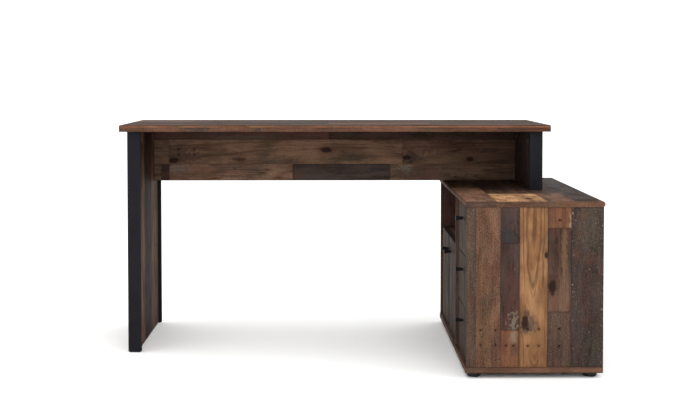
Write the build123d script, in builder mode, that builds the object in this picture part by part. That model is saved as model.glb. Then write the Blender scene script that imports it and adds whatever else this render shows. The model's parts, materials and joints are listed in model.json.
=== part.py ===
import os
from build123d import *

os.makedirs("parts", exist_ok=True)

# A corner desk: a desktop on a tall left leg and on a short right leg, which stands on a
# low cabinet that runs from front to back. The cabinet opens towards the knee space.
# Frame: +X to the right, +Y to the back, +Z up. Origin: middle of the footprint, on the floor.

# Desk
desktop_width = 1450
desktop_depth = 650
desktop_thickness = 22
desktop_nose = 7  # rounding along the desktop's upper front edge
desktop_ease = 1.5  # small rounding along its lower front edge
desk_height = 768
front_overhang = 18  # desktop in front of the legs
side_overhang = 25  # desktop beyond the legs
leg_thickness = 22
strip_width = 44
strip_thickness = 18
strip_ease = 1.5
glide_height = 3
glide_inset = 4  # glide's ends inside the strip above it
glide_margin = 2  # glide's sides inside the strip above it
modesty_thickness = 16
modesty_setback = 126  # from the back of the legs to the back of the modesty panel

# Cabinet
cabinet_length = 1092
cabinet_width = 424
cabinet_height = 548
cabinet_standout = 101  # cabinet beyond the desktop's right end
top_nosing = 4  # rounded edge of the cabinet's top beyond its sides
top_flat = 1  # flat band left in the middle of that edge
bottom_lip = 2  # bottom board beyond the front edges of the panels
board_thickness = 18
back_thickness = 16
shelf_thickness = 16
panel_setback = 1  # end panels behind the ends of the top and bottom boards
drawer_section = 373  # clear width between the near end panel and the divider
foot_height = 16
foot_radius = 23.5
foot_rounding = 5  # rounding of a foot's lower edge
foot_inset_front = 28  # foot's centre from the open side
foot_inset_back = 34
foot_inset_end = 40

# Fronts
front_thickness = 16
front_recess = 7  # fronts behind the front edges of the panels
front_gap = 2
stop_gap = 1.5  # between a closed front and what stands behind it
knob_drop = 50  # knob's centre below the top of its front
knob_from_meeting = 47  # door knob's centre from the line where the doors meet
knob_length = 24
knob_neck_radius = 4.2
knob_face_radius = 8
knob_edge_rounding = 1
knob_bore_depth = 11
knob_screw_bite = 9
knob_screw_head_height = 1.2

# Drawer boxes
drawer_box_length = 350
drawer_box_height = 120
drawer_box_rise = 12  # box above the lower edge of its front
drawer_side_thickness = 12
drawer_side_gap = 4
drawer_bottom_thickness = 3
drawer_bottom_rise = 8
drawer_groove_depth = 6  # slots that hold the drawer's bottom
drawer_bottom_play = 0.5  # bottom's edges short of the ends of their slots
guide_height = 16
guide_length = 320
guide_engagement = 6
guide_groove_depth = 7
guide_play = 0.4
guide_setback = 12  # behind the backs of the drawer fronts
guide_rise = 70  # guide's centre above the drawer's lower edge
guide_rounding = 2
guide_screw_inset = 35  # screw's centre from the guide's end
guide_screw_bite = 10
guide_head_recess = 3

# Fastenings
dowel_radius = 4
dowel_bite = 17  # dowel's reach into the end of a board
dowel_face_bite = 8  # its reach into the other board's face
dowel_room = 0.5  # bore beyond each end of a dowel
leg_dowel_inset = 60  # leg dowels from the edges of a leg's panel
leg_cam_front_inset = 110
leg_cam_rear_inset = 170
strip_dowel_zs = [180, 400, 620]  # heights of the dowels in the left leg's strips
short_dowel_inset = 60  # dowels from the ends of the short leg's strips
modesty_dowel_shares = (0.2, 0.5, 0.8)  # places along the modesty panel
modesty_cam_inset = 50  # cams from the modesty panel's lower and upper edges
carcass_dowel_inset_front = 110
carcass_dowel_inset_back = 60
carcass_cam_inset_front = 70
carcass_cam_inset_back = 100
back_dowel_inset = 90  # back board's outer dowels from its ends
back_dowel_offset = 120  # its middle dowels from the divider
shelf_dowel_inset = 60
shelf_cam_inset = 110
cam_radius = 7.4
cam_bolt_radius = 3
cam_neck = 4.5  # cam beyond the axis of its bolt
cam_distance = 34  # cam's centre from the end of its panel
cam_bolt_bite = 11
cam_mouth_length = 12  # mouth of a cam, which takes the head of its bolt
cam_mouth_shift = 5  # mouth's centre from the cam's axis
bolt_room = 0.4  # bore around a bolt where it runs free
fit_play = 0.1
screw_radius = 2
guide_screw_radius = 1.6
guide_screw_head_radius = 3.6
screw_head_radius = 4
screw_head_height = 2.5
flat_head_height = 2  # heads of the small screws for hinges and guides
leg_screw_bite = 30
leg_screw_end_inset = 30
leg_screw_rear_inset = 60
leg_screw_inner_inset = 200
foot_screw_bite = 11
foot_screw_recess = 5
foot_screw_head_room = 1
hinge_cup_radius = 17.4
hinge_cup_depth = 11.3
hinge_cup_setback = 21.5  # cup's centre from the door's hinge edge
hinge_from_end = 70  # hinge's centre from the door's lower and upper edges
hinge_cup_wall = 1.5
hinge_cup_floor = 1
hinge_flange_thickness = 1
hinge_flange_near = 5  # flange's edges from the door's hinge edge
hinge_flange_far = 33
hinge_flange_half_height = 31
hinge_bridge_half_length = 7  # bar across the bottom of the cup
hinge_bridge_half_height = 5
hinge_bridge_rise = 0.5
hinge_arm_length = 62
hinge_arm_setback = 2  # arm behind the closed door's stop line
hinge_arm_reach = 11  # arm's outer face from the panel that carries it
hinge_arm_half_height = 7.5
hinge_arm_skin = 1.5  # sheet that the arm is pressed from
hinge_arm_lip = 3  # solid front end of the arm
hinge_slot_steps = (24, 48)  # adjusting holes along the arm
hinge_slot_radius = 3
hinge_plate_setback = 14  # plate behind the arm's front end
hinge_plate_length = 40
hinge_plate_height = 52
hinge_plate_thickness = 2
hinge_screw_step = 16  # plate's screws from its middle
hinge_screw_bite = 10

# Places worked out from the sizes above
overall_width = desktop_width + cabinet_standout + top_nosing
desk_left = -overall_width / 2
desk_right = desk_left + desktop_width
cabinet_right = desk_right + cabinet_standout
cabinet_left = cabinet_right - cabinet_width
back_plane = cabinet_length / 2
near_plane = -cabinet_length / 2
desktop_front = back_plane - desktop_depth
leg_front = desktop_front + front_overhang
desktop_underside = desk_height - desktop_thickness

interior_bottom = foot_height + board_thickness
interior_top = cabinet_height - board_thickness
interior_height = interior_top - interior_bottom
near_panel_y = near_plane + panel_setback + board_thickness / 2
far_panel_y = back_plane - panel_setback - board_thickness / 2
near_inner = near_panel_y + board_thickness / 2
far_inner = far_panel_y - board_thickness / 2
divider_near = near_inner + drawer_section
divider_far = divider_near + board_thickness
divider_y = (divider_near + divider_far) / 2
front_plane = cabinet_left + front_recess
front_back = front_plane + front_thickness
back_inner = cabinet_right - back_thickness
drawer_names = ("lower_drawer", "middle_drawer", "upper_drawer")
drawer_count = len(drawer_names)
drawer_front_height = (interior_height - (drawer_count + 1) * front_gap) / drawer_count
drawer_pitch = drawer_front_height + front_gap
drawer_bottoms = [interior_bottom + front_gap + i * drawer_pitch for i in range(drawer_count)]
door_bottom = drawer_bottoms[0]
door_top = drawer_bottoms[1] + drawer_front_height
door_height = door_top - door_bottom
door_width = (far_inner - divider_far - 3 * front_gap) / 2
door_meeting = (divider_far + far_inner) / 2
shelf_top = door_top

left_leg_x = desk_left + side_overhang + strip_width / 2
right_leg_x = desk_right - side_overhang - strip_width / 2
panel_front = leg_front + strip_thickness
panel_back = back_plane - strip_thickness
modesty_y = back_plane - modesty_setback - modesty_thickness / 2
modesty_left = left_leg_x + leg_thickness / 2
modesty_right = right_leg_x - leg_thickness / 2

mouth_radius = cam_bolt_radius + bolt_room

cut_beyond = 1  # cuts run this far past the faces they open
upright = (0, 0, 0)
along_x = (0, 90, 0)
along_y = (90, 0, 0)


def save(piece, node):
    piece.part.label = node
    export_step(piece.part, f"parts/{node}.step")


def block(x_span, y_span, z_span, mode=Mode.ADD):
    # a board between two planes on each axis
    spans = (x_span, y_span, z_span)
    with Locations(tuple((low + high) / 2 for low, high in spans)):
        Box(*[high - low for low, high in spans], mode=mode)


def pocket(x_span, y_span, z_span):
    block(x_span, y_span, z_span, Mode.SUBTRACT)


def pins(points, radius, length, turn):
    with Locations(*points):
        Cylinder(radius, length, rotation=turn)


def bore(points, radius, length, turn):
    # a round hole, centred on each point
    with Locations(*points):
        Cylinder(radius, length, rotation=turn, mode=Mode.SUBTRACT)


def grid(x_places, y_places, z):
    return [(x, y, z) for x in x_places for y in y_places]


def shifted(points, dx=0.0, dy=0.0, dz=0.0):
    return [(x + dx, y + dy, z + dz) for x, y, z in points]


def dowel_bores(points, turn):
    # deep enough for the longer end of a dowel that crosses the joint at each point
    bore(points, dowel_radius + fit_play, 2 * (dowel_bite + dowel_room), turn)


def face_bores(points, turn):
    bore(points, dowel_radius + fit_play, 2 * (dowel_face_bite + dowel_room), turn)


def bolt_bores(points, turn):
    bore(points, cam_bolt_radius + fit_play, 2 * (cam_bolt_bite + dowel_room), turn)


def cam_depth(thickness):
    # a cam reaches a little past its bolt, which runs in the middle of the board
    return thickness / 2 + cam_neck


# Where the fastenings sit. A dowel is centred on the face between its two boards. A cam sits in
# the end of one board, and its bolt crosses the face into the other.
leg_dowel_ys = [panel_front + leg_dowel_inset, panel_back - leg_dowel_inset]
leg_cam_ys = [panel_front + leg_cam_front_inset, panel_back - leg_cam_rear_inset]
short_dowel_zs = [cabinet_height + short_dowel_inset, desktop_underside - short_dowel_inset]
modesty_dowel_xs = [modesty_left + (modesty_right - modesty_left) * share for share in modesty_dowel_shares]
modesty_cam_zs = [cabinet_height + modesty_cam_inset, desktop_underside - modesty_cam_inset]
carcass_dowel_xs = [cabinet_left + carcass_dowel_inset_front, back_inner - carcass_dowel_inset_back]
carcass_cam_xs = [cabinet_left + carcass_cam_inset_front, back_inner - carcass_cam_inset_back]
upright_panel_ys = [near_panel_y, divider_y, far_panel_y]
back_dowel_ys = [near_inner + back_dowel_inset, divider_far + back_dowel_offset,
                 far_inner - back_dowel_inset]
shelf_dowel_xs = [front_back + shelf_dowel_inset, back_inner - shelf_dowel_inset]
shelf_cam_xs = [front_back + shelf_cam_inset, back_inner - shelf_cam_inset]

desktop_dowel_sites = grid([left_leg_x, right_leg_x], leg_dowel_ys, desktop_underside)
desktop_dowel_sites += [(x, modesty_y, desktop_underside) for x in modesty_dowel_xs]
carcass_top_dowels = grid(carcass_dowel_xs, upright_panel_ys, interior_top)
carcass_top_dowels += [(cabinet_right - back_thickness / 2, y, interior_top) for y in back_dowel_ys]
carcass_bottom_dowels = grid(carcass_dowel_xs, upright_panel_ys, interior_bottom)
carcass_bottom_dowels += [(cabinet_right - back_thickness / 2, y, interior_bottom) for y in back_dowel_ys]
shelf_z = shelf_top - shelf_thickness / 2
shelf_dowels = grid(shelf_dowel_xs, [divider_far, far_inner], shelf_z)
leg_screw_ys = [panel_front + leg_screw_end_inset, panel_front + leg_screw_inner_inset,
                panel_back - leg_screw_inner_inset, panel_back - leg_screw_rear_inset]
leg_screw_sites = grid([right_leg_x], leg_screw_ys, cabinet_height)
foot_xs = [cabinet_left + foot_inset_front, cabinet_right - foot_inset_back]
foot_ys = [near_plane + foot_inset_end, back_plane - foot_inset_end]
foot_sites = grid(foot_xs, foot_ys, foot_height)


with BuildPart() as desktop:
    block((desk_left, desk_right), (desktop_front, back_plane), (desktop_underside, desk_height))
    front_edges = desktop.edges().filter_by(Axis.X).group_by(Axis.Y)[0]
    fillet(front_edges.sort_by(Axis.Z)[-1], desktop_nose)
    fillet(desktop.edges().filter_by(Axis.X).group_by(Axis.Z)[0].sort_by(Axis.Y)[0], desktop_ease)
    face_bores(desktop_dowel_sites, upright)
    bolt_bores(grid([left_leg_x, right_leg_x], leg_cam_ys, desktop_underside), upright)
save(desktop, "desktop")


def leg_panel(node, x, z_span, facing, strip_zs):
    # facing is +1 or -1: the side of the panel that looks into the knee space
    with BuildPart() as panel:
        block((x - leg_thickness / 2, x + leg_thickness / 2), (panel_front, panel_back), z_span)
        dowel_bores(grid([x], leg_dowel_ys, desktop_underside), upright)
        cam_sites = grid([x], leg_cam_ys, desktop_underside - cam_distance)
        bore(shifted(cam_sites, dz=cam_distance / 2), mouth_radius, cam_distance, upright)
        depth = cam_depth(leg_thickness)
        bore(shifted(cam_sites, dx=facing * (leg_thickness - depth) / 2),
             cam_radius + fit_play, depth, along_x)
        dowel_bores([(x, y, z) for y in (panel_front, panel_back) for z in strip_zs], along_y)
        bolt_bores([(x + facing * leg_thickness / 2, modesty_y, z) for z in modesty_cam_zs], along_x)
        if z_span[0] == cabinet_height:
            bore(leg_screw_sites, screw_radius + fit_play, 2 * (leg_screw_bite + dowel_room), upright)
    save(panel, node)


leg_panel("left_side_panel", left_leg_x, (glide_height, desktop_underside), 1, strip_dowel_zs)
leg_panel("right_side_panel", right_leg_x, (cabinet_height, desktop_underside), -1, short_dowel_zs)


def edge_strip(node, x, y_span, z_span, dowel_zs, joint_y):
    with BuildPart() as strip:
        block((x - strip_width / 2, x + strip_width / 2), y_span, z_span)
        fillet(strip.edges().filter_by(Axis.Z), strip_ease)
        face_bores([(x, joint_y, z) for z in dowel_zs], along_y)
    save(strip, node)


for side, leg_x, foot_z, dowel_zs in (("left", left_leg_x, glide_height, strip_dowel_zs),
                                      ("right", right_leg_x, cabinet_height, short_dowel_zs)):
    leg_span = (foot_z, desktop_underside)
    edge_strip(f"{side}_front_strip", leg_x, (leg_front, panel_front), leg_span, dowel_zs, panel_front)
    edge_strip(f"{side}_rear_strip", leg_x, (panel_back, back_plane), leg_span, dowel_zs, panel_back)

modesty_ends = ((modesty_left, 1), (modesty_right, -1))
modesty_cam_y = modesty_y + modesty_thickness / 2 - cam_depth(modesty_thickness) / 2
with BuildPart() as modesty_panel:
    block((modesty_left, modesty_right),
          (modesty_y - modesty_thickness / 2, modesty_y + modesty_thickness / 2),
          (cabinet_height, desktop_underside))
    dowel_bores([(x, modesty_y, desktop_underside) for x in modesty_dowel_xs], upright)
    for end, inward in modesty_ends:
        bore([(end + inward * cam_distance / 2, modesty_y, z) for z in modesty_cam_zs],
             mouth_radius, cam_distance, along_x)
        bore([(end + inward * cam_distance, modesty_cam_y, z) for z in modesty_cam_zs],
             cam_radius + fit_play, cam_depth(modesty_thickness), along_y)
save(modesty_panel, "modesty_panel")

with BuildPart() as leg_glides:
    for y in ((leg_front + panel_front) / 2, (panel_back + back_plane) / 2):
        block((left_leg_x - strip_width / 2 + glide_inset, left_leg_x + strip_width / 2 - glide_inset),
              (y - strip_thickness / 2 + glide_margin, y + strip_thickness / 2 - glide_margin),
              (0, glide_height))
save(leg_glides, "leg_glides")

dowel_span = dowel_bite + dowel_face_bite
dowel_offset = (dowel_bite - dowel_face_bite) / 2
with BuildPart() as desktop_dowels:
    pins(shifted(desktop_dowel_sites, dz=-dowel_offset), dowel_radius, dowel_span, upright)
save(desktop_dowels, "desktop_dowels")

with BuildPart() as strip_dowels:
    for x, zs in ((left_leg_x, strip_dowel_zs), (right_leg_x, short_dowel_zs)):
        for joint_y, inward in ((panel_front, 1), (panel_back, -1)):
            pins([(x, joint_y + inward * dowel_offset, z) for z in zs], dowel_radius, dowel_span, along_y)
save(strip_dowels, "strip_dowels")

with BuildPart() as desk_cams:
    depth = cam_depth(leg_thickness)
    for x, facing in ((left_leg_x, 1), (right_leg_x, -1)):
        cam_sites = grid([x], leg_cam_ys, desktop_underside - cam_distance)
        pins(shifted(cam_sites, dx=facing * (leg_thickness - depth) / 2), cam_radius, depth, along_x)
        bore(shifted(cam_sites, dz=cam_mouth_shift), mouth_radius, cam_mouth_length, upright)
    for end, inward in modesty_ends:
        pins([(end + inward * cam_distance, modesty_cam_y, z) for z in modesty_cam_zs],
             cam_radius, cam_depth(modesty_thickness), along_y)
        bore([(end + inward * (cam_distance - cam_mouth_shift), modesty_y, z) for z in modesty_cam_zs],
             mouth_radius, cam_mouth_length, along_x)
save(desk_cams, "desk_cams")

bolt_length = cam_bolt_bite + cam_distance
bolt_offset = (cam_distance - cam_bolt_bite) / 2
with BuildPart() as desk_cam_bolts:
    pins(grid([left_leg_x, right_leg_x], leg_cam_ys, desktop_underside - bolt_offset),
         cam_bolt_radius, bolt_length, upright)
    for end, inward in modesty_ends:
        pins([(end + inward * bolt_offset, modesty_y, z) for z in modesty_cam_zs],
             cam_bolt_radius, bolt_length, along_x)
save(desk_cam_bolts, "desk_cam_bolts")

with BuildPart() as short_leg_screws:
    shank = leg_screw_bite + board_thickness
    pins(shifted(leg_screw_sites, dz=leg_screw_bite - shank / 2), screw_radius, shank, upright)
    pins(shifted(leg_screw_sites, dz=-board_thickness - screw_head_height / 2),
         screw_head_radius, screw_head_height, upright)
save(short_leg_screws, "short_leg_screws")

with BuildPart() as cabinet_top:
    with BuildSketch(Plane.XZ.offset(-near_plane)) as top_profile:
        with Locations(((cabinet_left + cabinet_right) / 2, cabinet_height - board_thickness / 2)):
            Rectangle(cabinet_width + 2 * top_nosing, board_thickness)
        fillet(top_profile.vertices(), board_thickness / 2 - top_flat / 2)
    extrude(amount=-cabinet_length)
    face_bores(carcass_top_dowels, upright)
    bolt_bores(grid(carcass_cam_xs, upright_panel_ys, interior_top), upright)
    bore(shifted(leg_screw_sites, dz=-board_thickness / 2),
         screw_radius + fit_play, board_thickness, upright)
save(cabinet_top, "cabinet_top")

with BuildPart() as cabinet_bottom:
    block((cabinet_left - bottom_lip, cabinet_right), (near_plane, back_plane),
          (foot_height, interior_bottom))
    face_bores(carcass_bottom_dowels, upright)
    bolt_bores(grid(carcass_cam_xs, upright_panel_ys, interior_bottom), upright)
    bore(foot_sites, screw_radius + fit_play, 2 * foot_screw_bite, upright)
save(cabinet_bottom, "cabinet_bottom")

guide_side_reach = drawer_side_gap + guide_engagement
guide_front = front_back + guide_setback
guide_zs = [bottom + guide_rise for bottom in drawer_bottoms]
guide_screw_xs = [guide_front + guide_screw_inset, guide_front + guide_length - guide_screw_inset]
hinge_zs = [door_bottom + hinge_from_end, door_top - hinge_from_end]
hinge_arm_front = front_back + stop_gap + hinge_arm_setback
hinge_arm_back = hinge_arm_front + hinge_arm_length
hinge_plate_front = hinge_arm_front + hinge_plate_setback
hinge_screw_x = hinge_plate_front + hinge_plate_length / 2
hinge_screw_zs = [z + step for z in hinge_zs for step in (-hinge_screw_step, hinge_screw_step)]
hardware_faces = ((divider_far, 1), (far_inner, -1))
guide_faces = ((near_inner, 1), (divider_near, -1))


def upright_panel(node, y, x_end, cam_side, guided_face, shelved_face):
    # cam_side is +1 or -1: the face where the cams show. guided_face is the y of the face that
    # carries drawer guides, and shelved_face of the one that carries the shelf and the hinges.
    with BuildPart() as panel:
        block((cabinet_left, x_end), (y - board_thickness / 2, y + board_thickness / 2),
              (interior_bottom, interior_top))
        depth = cam_depth(board_thickness)
        for joint_z, inward in ((interior_bottom, 1), (interior_top, -1)):
            dowel_bores(grid(carcass_dowel_xs, [y], joint_z), upright)
            cam_sites = grid(carcass_cam_xs, [y], joint_z + inward * cam_distance)
            bore(shifted(cam_sites, dz=-inward * cam_distance / 2), mouth_radius, cam_distance, upright)
            bore(shifted(cam_sites, dy=cam_side * (board_thickness - depth) / 2),
                 cam_radius + fit_play, depth, along_y)
        if guided_face is not None:
            bore([(x, guided_face, z) for x in guide_screw_xs for z in guide_zs],
                 guide_screw_radius + fit_play, 2 * (guide_screw_bite + dowel_room), along_y)
        if shelved_face is not None:
            face_bores([(x, shelved_face, shelf_z) for x in shelf_dowel_xs], along_y)
            bolt_bores([(x, shelved_face, shelf_z) for x in shelf_cam_xs], along_y)
            bore([(hinge_screw_x, shelved_face, z) for z in hinge_screw_zs],
                 screw_radius + fit_play, 2 * (hinge_screw_bite + dowel_room), along_y)
    save(panel, node)


upright_panel("near_end_panel", near_panel_y, cabinet_right, 1, near_inner, None)
upright_panel("divider", divider_y, back_inner, 1, divider_near, divider_far)
upright_panel("far_end_panel", far_panel_y, cabinet_right, -1, None, far_inner)

with BuildPart() as compartment_shelf:
    shelf_front = front_back + stop_gap
    block((shelf_front, back_inner), (divider_far, far_inner), (shelf_top - shelf_thickness, shelf_top))
    depth = cam_depth(shelf_thickness)
    for face, inward in hardware_faces:
        dowel_bores([(x, face, shelf_z) for x in shelf_dowel_xs], along_y)
        cam_sites = [(x, face + inward * cam_distance, shelf_z) for x in shelf_cam_xs]
        bore(shifted(cam_sites, dy=-inward * cam_distance / 2), mouth_radius, cam_distance, along_y)
        bore(shifted(cam_sites, dz=(depth - shelf_thickness) / 2), cam_radius + fit_play, depth, upright)
save(compartment_shelf, "compartment_shelf")

with BuildPart() as cabinet_back:
    block((back_inner, cabinet_right), (near_inner, far_inner), (interior_bottom, interior_top))
    for joint_z in (interior_bottom, interior_top):
        dowel_bores([(cabinet_right - back_thickness / 2, y, joint_z) for y in back_dowel_ys], upright)
save(cabinet_back, "cabinet_back")

with BuildPart() as carcass_dowels:
    pins(shifted(carcass_top_dowels, dz=-dowel_offset), dowel_radius, dowel_span, upright)
    pins(shifted(carcass_bottom_dowels, dz=dowel_offset), dowel_radius, dowel_span, upright)
    for face, inward in hardware_faces:
        pins([(x, face + inward * dowel_offset, shelf_z) for x in shelf_dowel_xs],
             dowel_radius, dowel_span, along_y)
save(carcass_dowels, "carcass_dowels")

with BuildPart() as carcass_cams:
    depth = cam_depth(board_thickness)
    for y, cam_side in ((near_panel_y, 1), (divider_y, 1), (far_panel_y, -1)):
        for joint_z, inward in ((interior_bottom, 1), (interior_top, -1)):
            cam_sites = grid(carcass_cam_xs, [y], joint_z + inward * cam_distance)
            pins(shifted(cam_sites, dy=cam_side * (board_thickness - depth) / 2), cam_radius, depth, along_y)
            bore(shifted(cam_sites, dz=-inward * cam_mouth_shift), mouth_radius, cam_mouth_length, upright)
    depth = cam_depth(shelf_thickness)
    for face, inward in hardware_faces:
        cam_sites = [(x, face + inward * cam_distance, shelf_z) for x in shelf_cam_xs]
        pins(shifted(cam_sites, dz=(depth - shelf_thickness) / 2), cam_radius, depth, upright)
        bore(shifted(cam_sites, dy=-inward * cam_mouth_shift), mouth_radius, cam_mouth_length, along_y)
save(carcass_cams, "carcass_cams")

with BuildPart() as carcass_cam_bolts:
    for joint_z, inward in ((interior_bottom, 1), (interior_top, -1)):
        pins(grid(carcass_cam_xs, upright_panel_ys, joint_z + inward * bolt_offset),
             cam_bolt_radius, bolt_length, upright)
    for face, inward in hardware_faces:
        pins([(x, face + inward * bolt_offset, shelf_z) for x in shelf_cam_xs],
             cam_bolt_radius, bolt_length, along_y)
save(carcass_cam_bolts, "carcass_cam_bolts")

with BuildPart() as cabinet_feet:
    pins(shifted(foot_sites, dz=-foot_height / 2), foot_radius, foot_height, upright)
    fillet(cabinet_feet.edges().filter_by(GeomType.CIRCLE).group_by(Axis.Z)[0], foot_rounding)
    bore(foot_sites, screw_radius + fit_play, 2 * foot_height, upright)
    bore(shifted(foot_sites, dz=-foot_height), screw_head_radius + foot_screw_head_room,
         2 * foot_screw_recess, upright)
save(cabinet_feet, "cabinet_feet")

with BuildPart() as foot_screws:
    low = foot_screw_recess - foot_height
    shank = foot_screw_bite - dowel_room - low
    pins(shifted(foot_sites, dz=low + shank / 2), screw_radius, shank, upright)
    pins(shifted(foot_sites, dz=low - screw_head_height / 2), screw_head_radius, screw_head_height, upright)
save(foot_screws, "foot_screws")

guide_screw_sites = [(x, 0, z) for x in guide_screw_xs for z in guide_zs]
with BuildPart() as drawer_guides:
    for face, inward in guide_faces:
        for z in guide_zs:
            block((guide_front, guide_front + guide_length),
                  sorted((face, face + inward * guide_side_reach)),
                  (z - guide_height / 2, z + guide_height / 2))
    fillet(drawer_guides.edges().filter_by(Axis.Z), guide_rounding)
    for face, inward in guide_faces:
        bore(shifted(guide_screw_sites, dy=face),
             guide_screw_radius + fit_play, 3 * guide_side_reach, along_y)
        bore(shifted(guide_screw_sites, dy=face + inward * guide_side_reach),
             screw_head_radius - fit_play, 2 * guide_head_recess, along_y)
save(drawer_guides, "drawer_guides")

with BuildPart() as guide_screws:
    seat = guide_side_reach - guide_head_recess
    shank = seat + guide_screw_bite
    for face, inward in guide_faces:
        pins(shifted(guide_screw_sites, dy=face + inward * (seat - shank / 2)),
             guide_screw_radius, shank, along_y)
        pins(shifted(guide_screw_sites, dy=face + inward * (seat + flat_head_height / 2)),
             guide_screw_head_radius, flat_head_height, along_y)
save(guide_screws, "guide_screws")

with BuildPart() as hinge_arms:
    for face, inward in hardware_faces:
        for z in hinge_zs:
            block((hinge_plate_front, hinge_plate_front + hinge_plate_length),
                  sorted((face, face + inward * hinge_plate_thickness)),
                  (z - hinge_plate_height / 2, z + hinge_plate_height / 2))
            block((hinge_arm_front, hinge_arm_back),
                  sorted((face + inward * hinge_plate_thickness / 2, face + inward * hinge_arm_reach)),
                  (z - hinge_arm_half_height, z + hinge_arm_half_height))
            hollow = hinge_arm_half_height - hinge_arm_skin
            pocket((hinge_arm_front + hinge_arm_lip, hinge_arm_back + cut_beyond),
                   sorted((face + inward * hinge_plate_thickness,
                           face + inward * (hinge_arm_reach - hinge_arm_skin))), (z - hollow, z + hollow))
            bore([(hinge_arm_front + step, face + inward * hinge_arm_reach, z) for step in hinge_slot_steps],
                 hinge_slot_radius, 4 * hinge_arm_skin, along_y)
        bore([(hinge_screw_x, face, z) for z in hinge_screw_zs],
             screw_radius + fit_play, 3 * hinge_plate_thickness, along_y)
save(hinge_arms, "hinge_arms")

with BuildPart() as hinge_screws:
    shank = hinge_screw_bite + hinge_plate_thickness
    for face, inward in hardware_faces:
        sites = [(hinge_screw_x, face, z) for z in hinge_screw_zs]
        pins(shifted(sites, dy=inward * (hinge_plate_thickness - shank / 2)), screw_radius, shank, along_y)
        pins(shifted(sites, dy=inward * (hinge_plate_thickness + flat_head_height / 2)),
             screw_head_radius, flat_head_height, along_y)
save(hinge_screws, "hinge_screws")


def knob(node, y, z):
    # a truncated cone that widens away from its front, bored for the screw from behind
    with BuildPart() as cone:
        with BuildSketch(Plane((front_plane, y, z), x_dir=(0, 1, 0), z_dir=(-1, 0, 0))):
            Circle(knob_neck_radius)
        with BuildSketch(Plane((front_plane - knob_length, y, z), x_dir=(0, 1, 0), z_dir=(-1, 0, 0))):
            Circle(knob_face_radius)
        loft()
        fillet(cone.edges().filter_by(GeomType.CIRCLE).sort_by(Axis.X)[0], knob_edge_rounding)
        bore([(front_plane, y, z)], screw_radius + fit_play, 2 * knob_bore_depth, along_x)
    save(cone, node)


def knob_screw(node, y, z):
    with BuildPart() as screw:
        shank = front_thickness + knob_screw_bite
        pins([(front_back - shank / 2, y, z)], screw_radius, shank, along_x)
        pins([(front_back + knob_screw_head_height / 2, y, z)],
             screw_head_radius, knob_screw_head_height, along_x)
    save(screw, node)


def make_drawer(name, bottom):
    top = bottom + drawer_front_height
    knob_y = (near_inner + divider_near) / 2
    knob_z = top - knob_drop
    box_low = bottom + drawer_box_rise
    box_high = box_low + drawer_box_height
    box_back = front_back + drawer_box_length
    outer_near = near_inner + drawer_side_gap
    outer_far = divider_near - drawer_side_gap
    inner_near = outer_near + drawer_side_thickness
    inner_far = outer_far - drawer_side_thickness
    panel_low = box_low + drawer_bottom_rise
    panel_high = panel_low + drawer_bottom_thickness
    groove_z = bottom + guide_rise

    with BuildPart() as front:
        block((front_plane, front_back), (near_inner + front_gap, divider_near - front_gap), (bottom, top))
        bore([(front_plane, knob_y, knob_z)], screw_radius + fit_play, 3 * front_thickness, along_x)
        pocket((front_back - drawer_groove_depth, front_back + cut_beyond), (inner_near, inner_far),
               (panel_low - fit_play, panel_high + fit_play))
    save(front, f"{name}_front")

    box_sides = (("near", outer_near, inner_near, 1), ("far", outer_far, inner_far, -1))
    for side, outer, inner, inward in box_sides:
        with BuildPart() as box_side:
            block((front_back, box_back), sorted((outer, inner)), (box_low, box_high))
            whole_length = (front_back - cut_beyond, box_back + cut_beyond)
            pocket(whole_length, sorted((outer - inward, outer + inward * guide_groove_depth)),
                   (groove_z - guide_height / 2 - guide_play, groove_z + guide_height / 2 + guide_play))
            pocket(whole_length, sorted((inner + inward, inner - inward * drawer_groove_depth)),
                   (panel_low - fit_play, panel_high + fit_play))
        save(box_side, f"{name}_{side}_side")

    with BuildPart() as box_back_board:
        block((box_back - drawer_side_thickness, box_back), (inner_near, inner_far),
              (panel_high + fit_play, box_high))
    save(box_back_board, f"{name}_back")

    with BuildPart() as bottom_board:
        tongue = drawer_groove_depth - drawer_bottom_play
        block((front_back, box_back), (inner_near - tongue, inner_far + tongue), (panel_low, panel_high))
        block((front_back - tongue, front_back),
              (inner_near + drawer_bottom_play, inner_far - drawer_bottom_play), (panel_low, panel_high))
    save(bottom_board, f"{name}_bottom")

    knob(f"{name}_knob", knob_y, knob_z)
    knob_screw(f"{name}_knob_screw", knob_y, knob_z)


for name, bottom in zip(drawer_names, drawer_bottoms):
    make_drawer(name, bottom)


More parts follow.
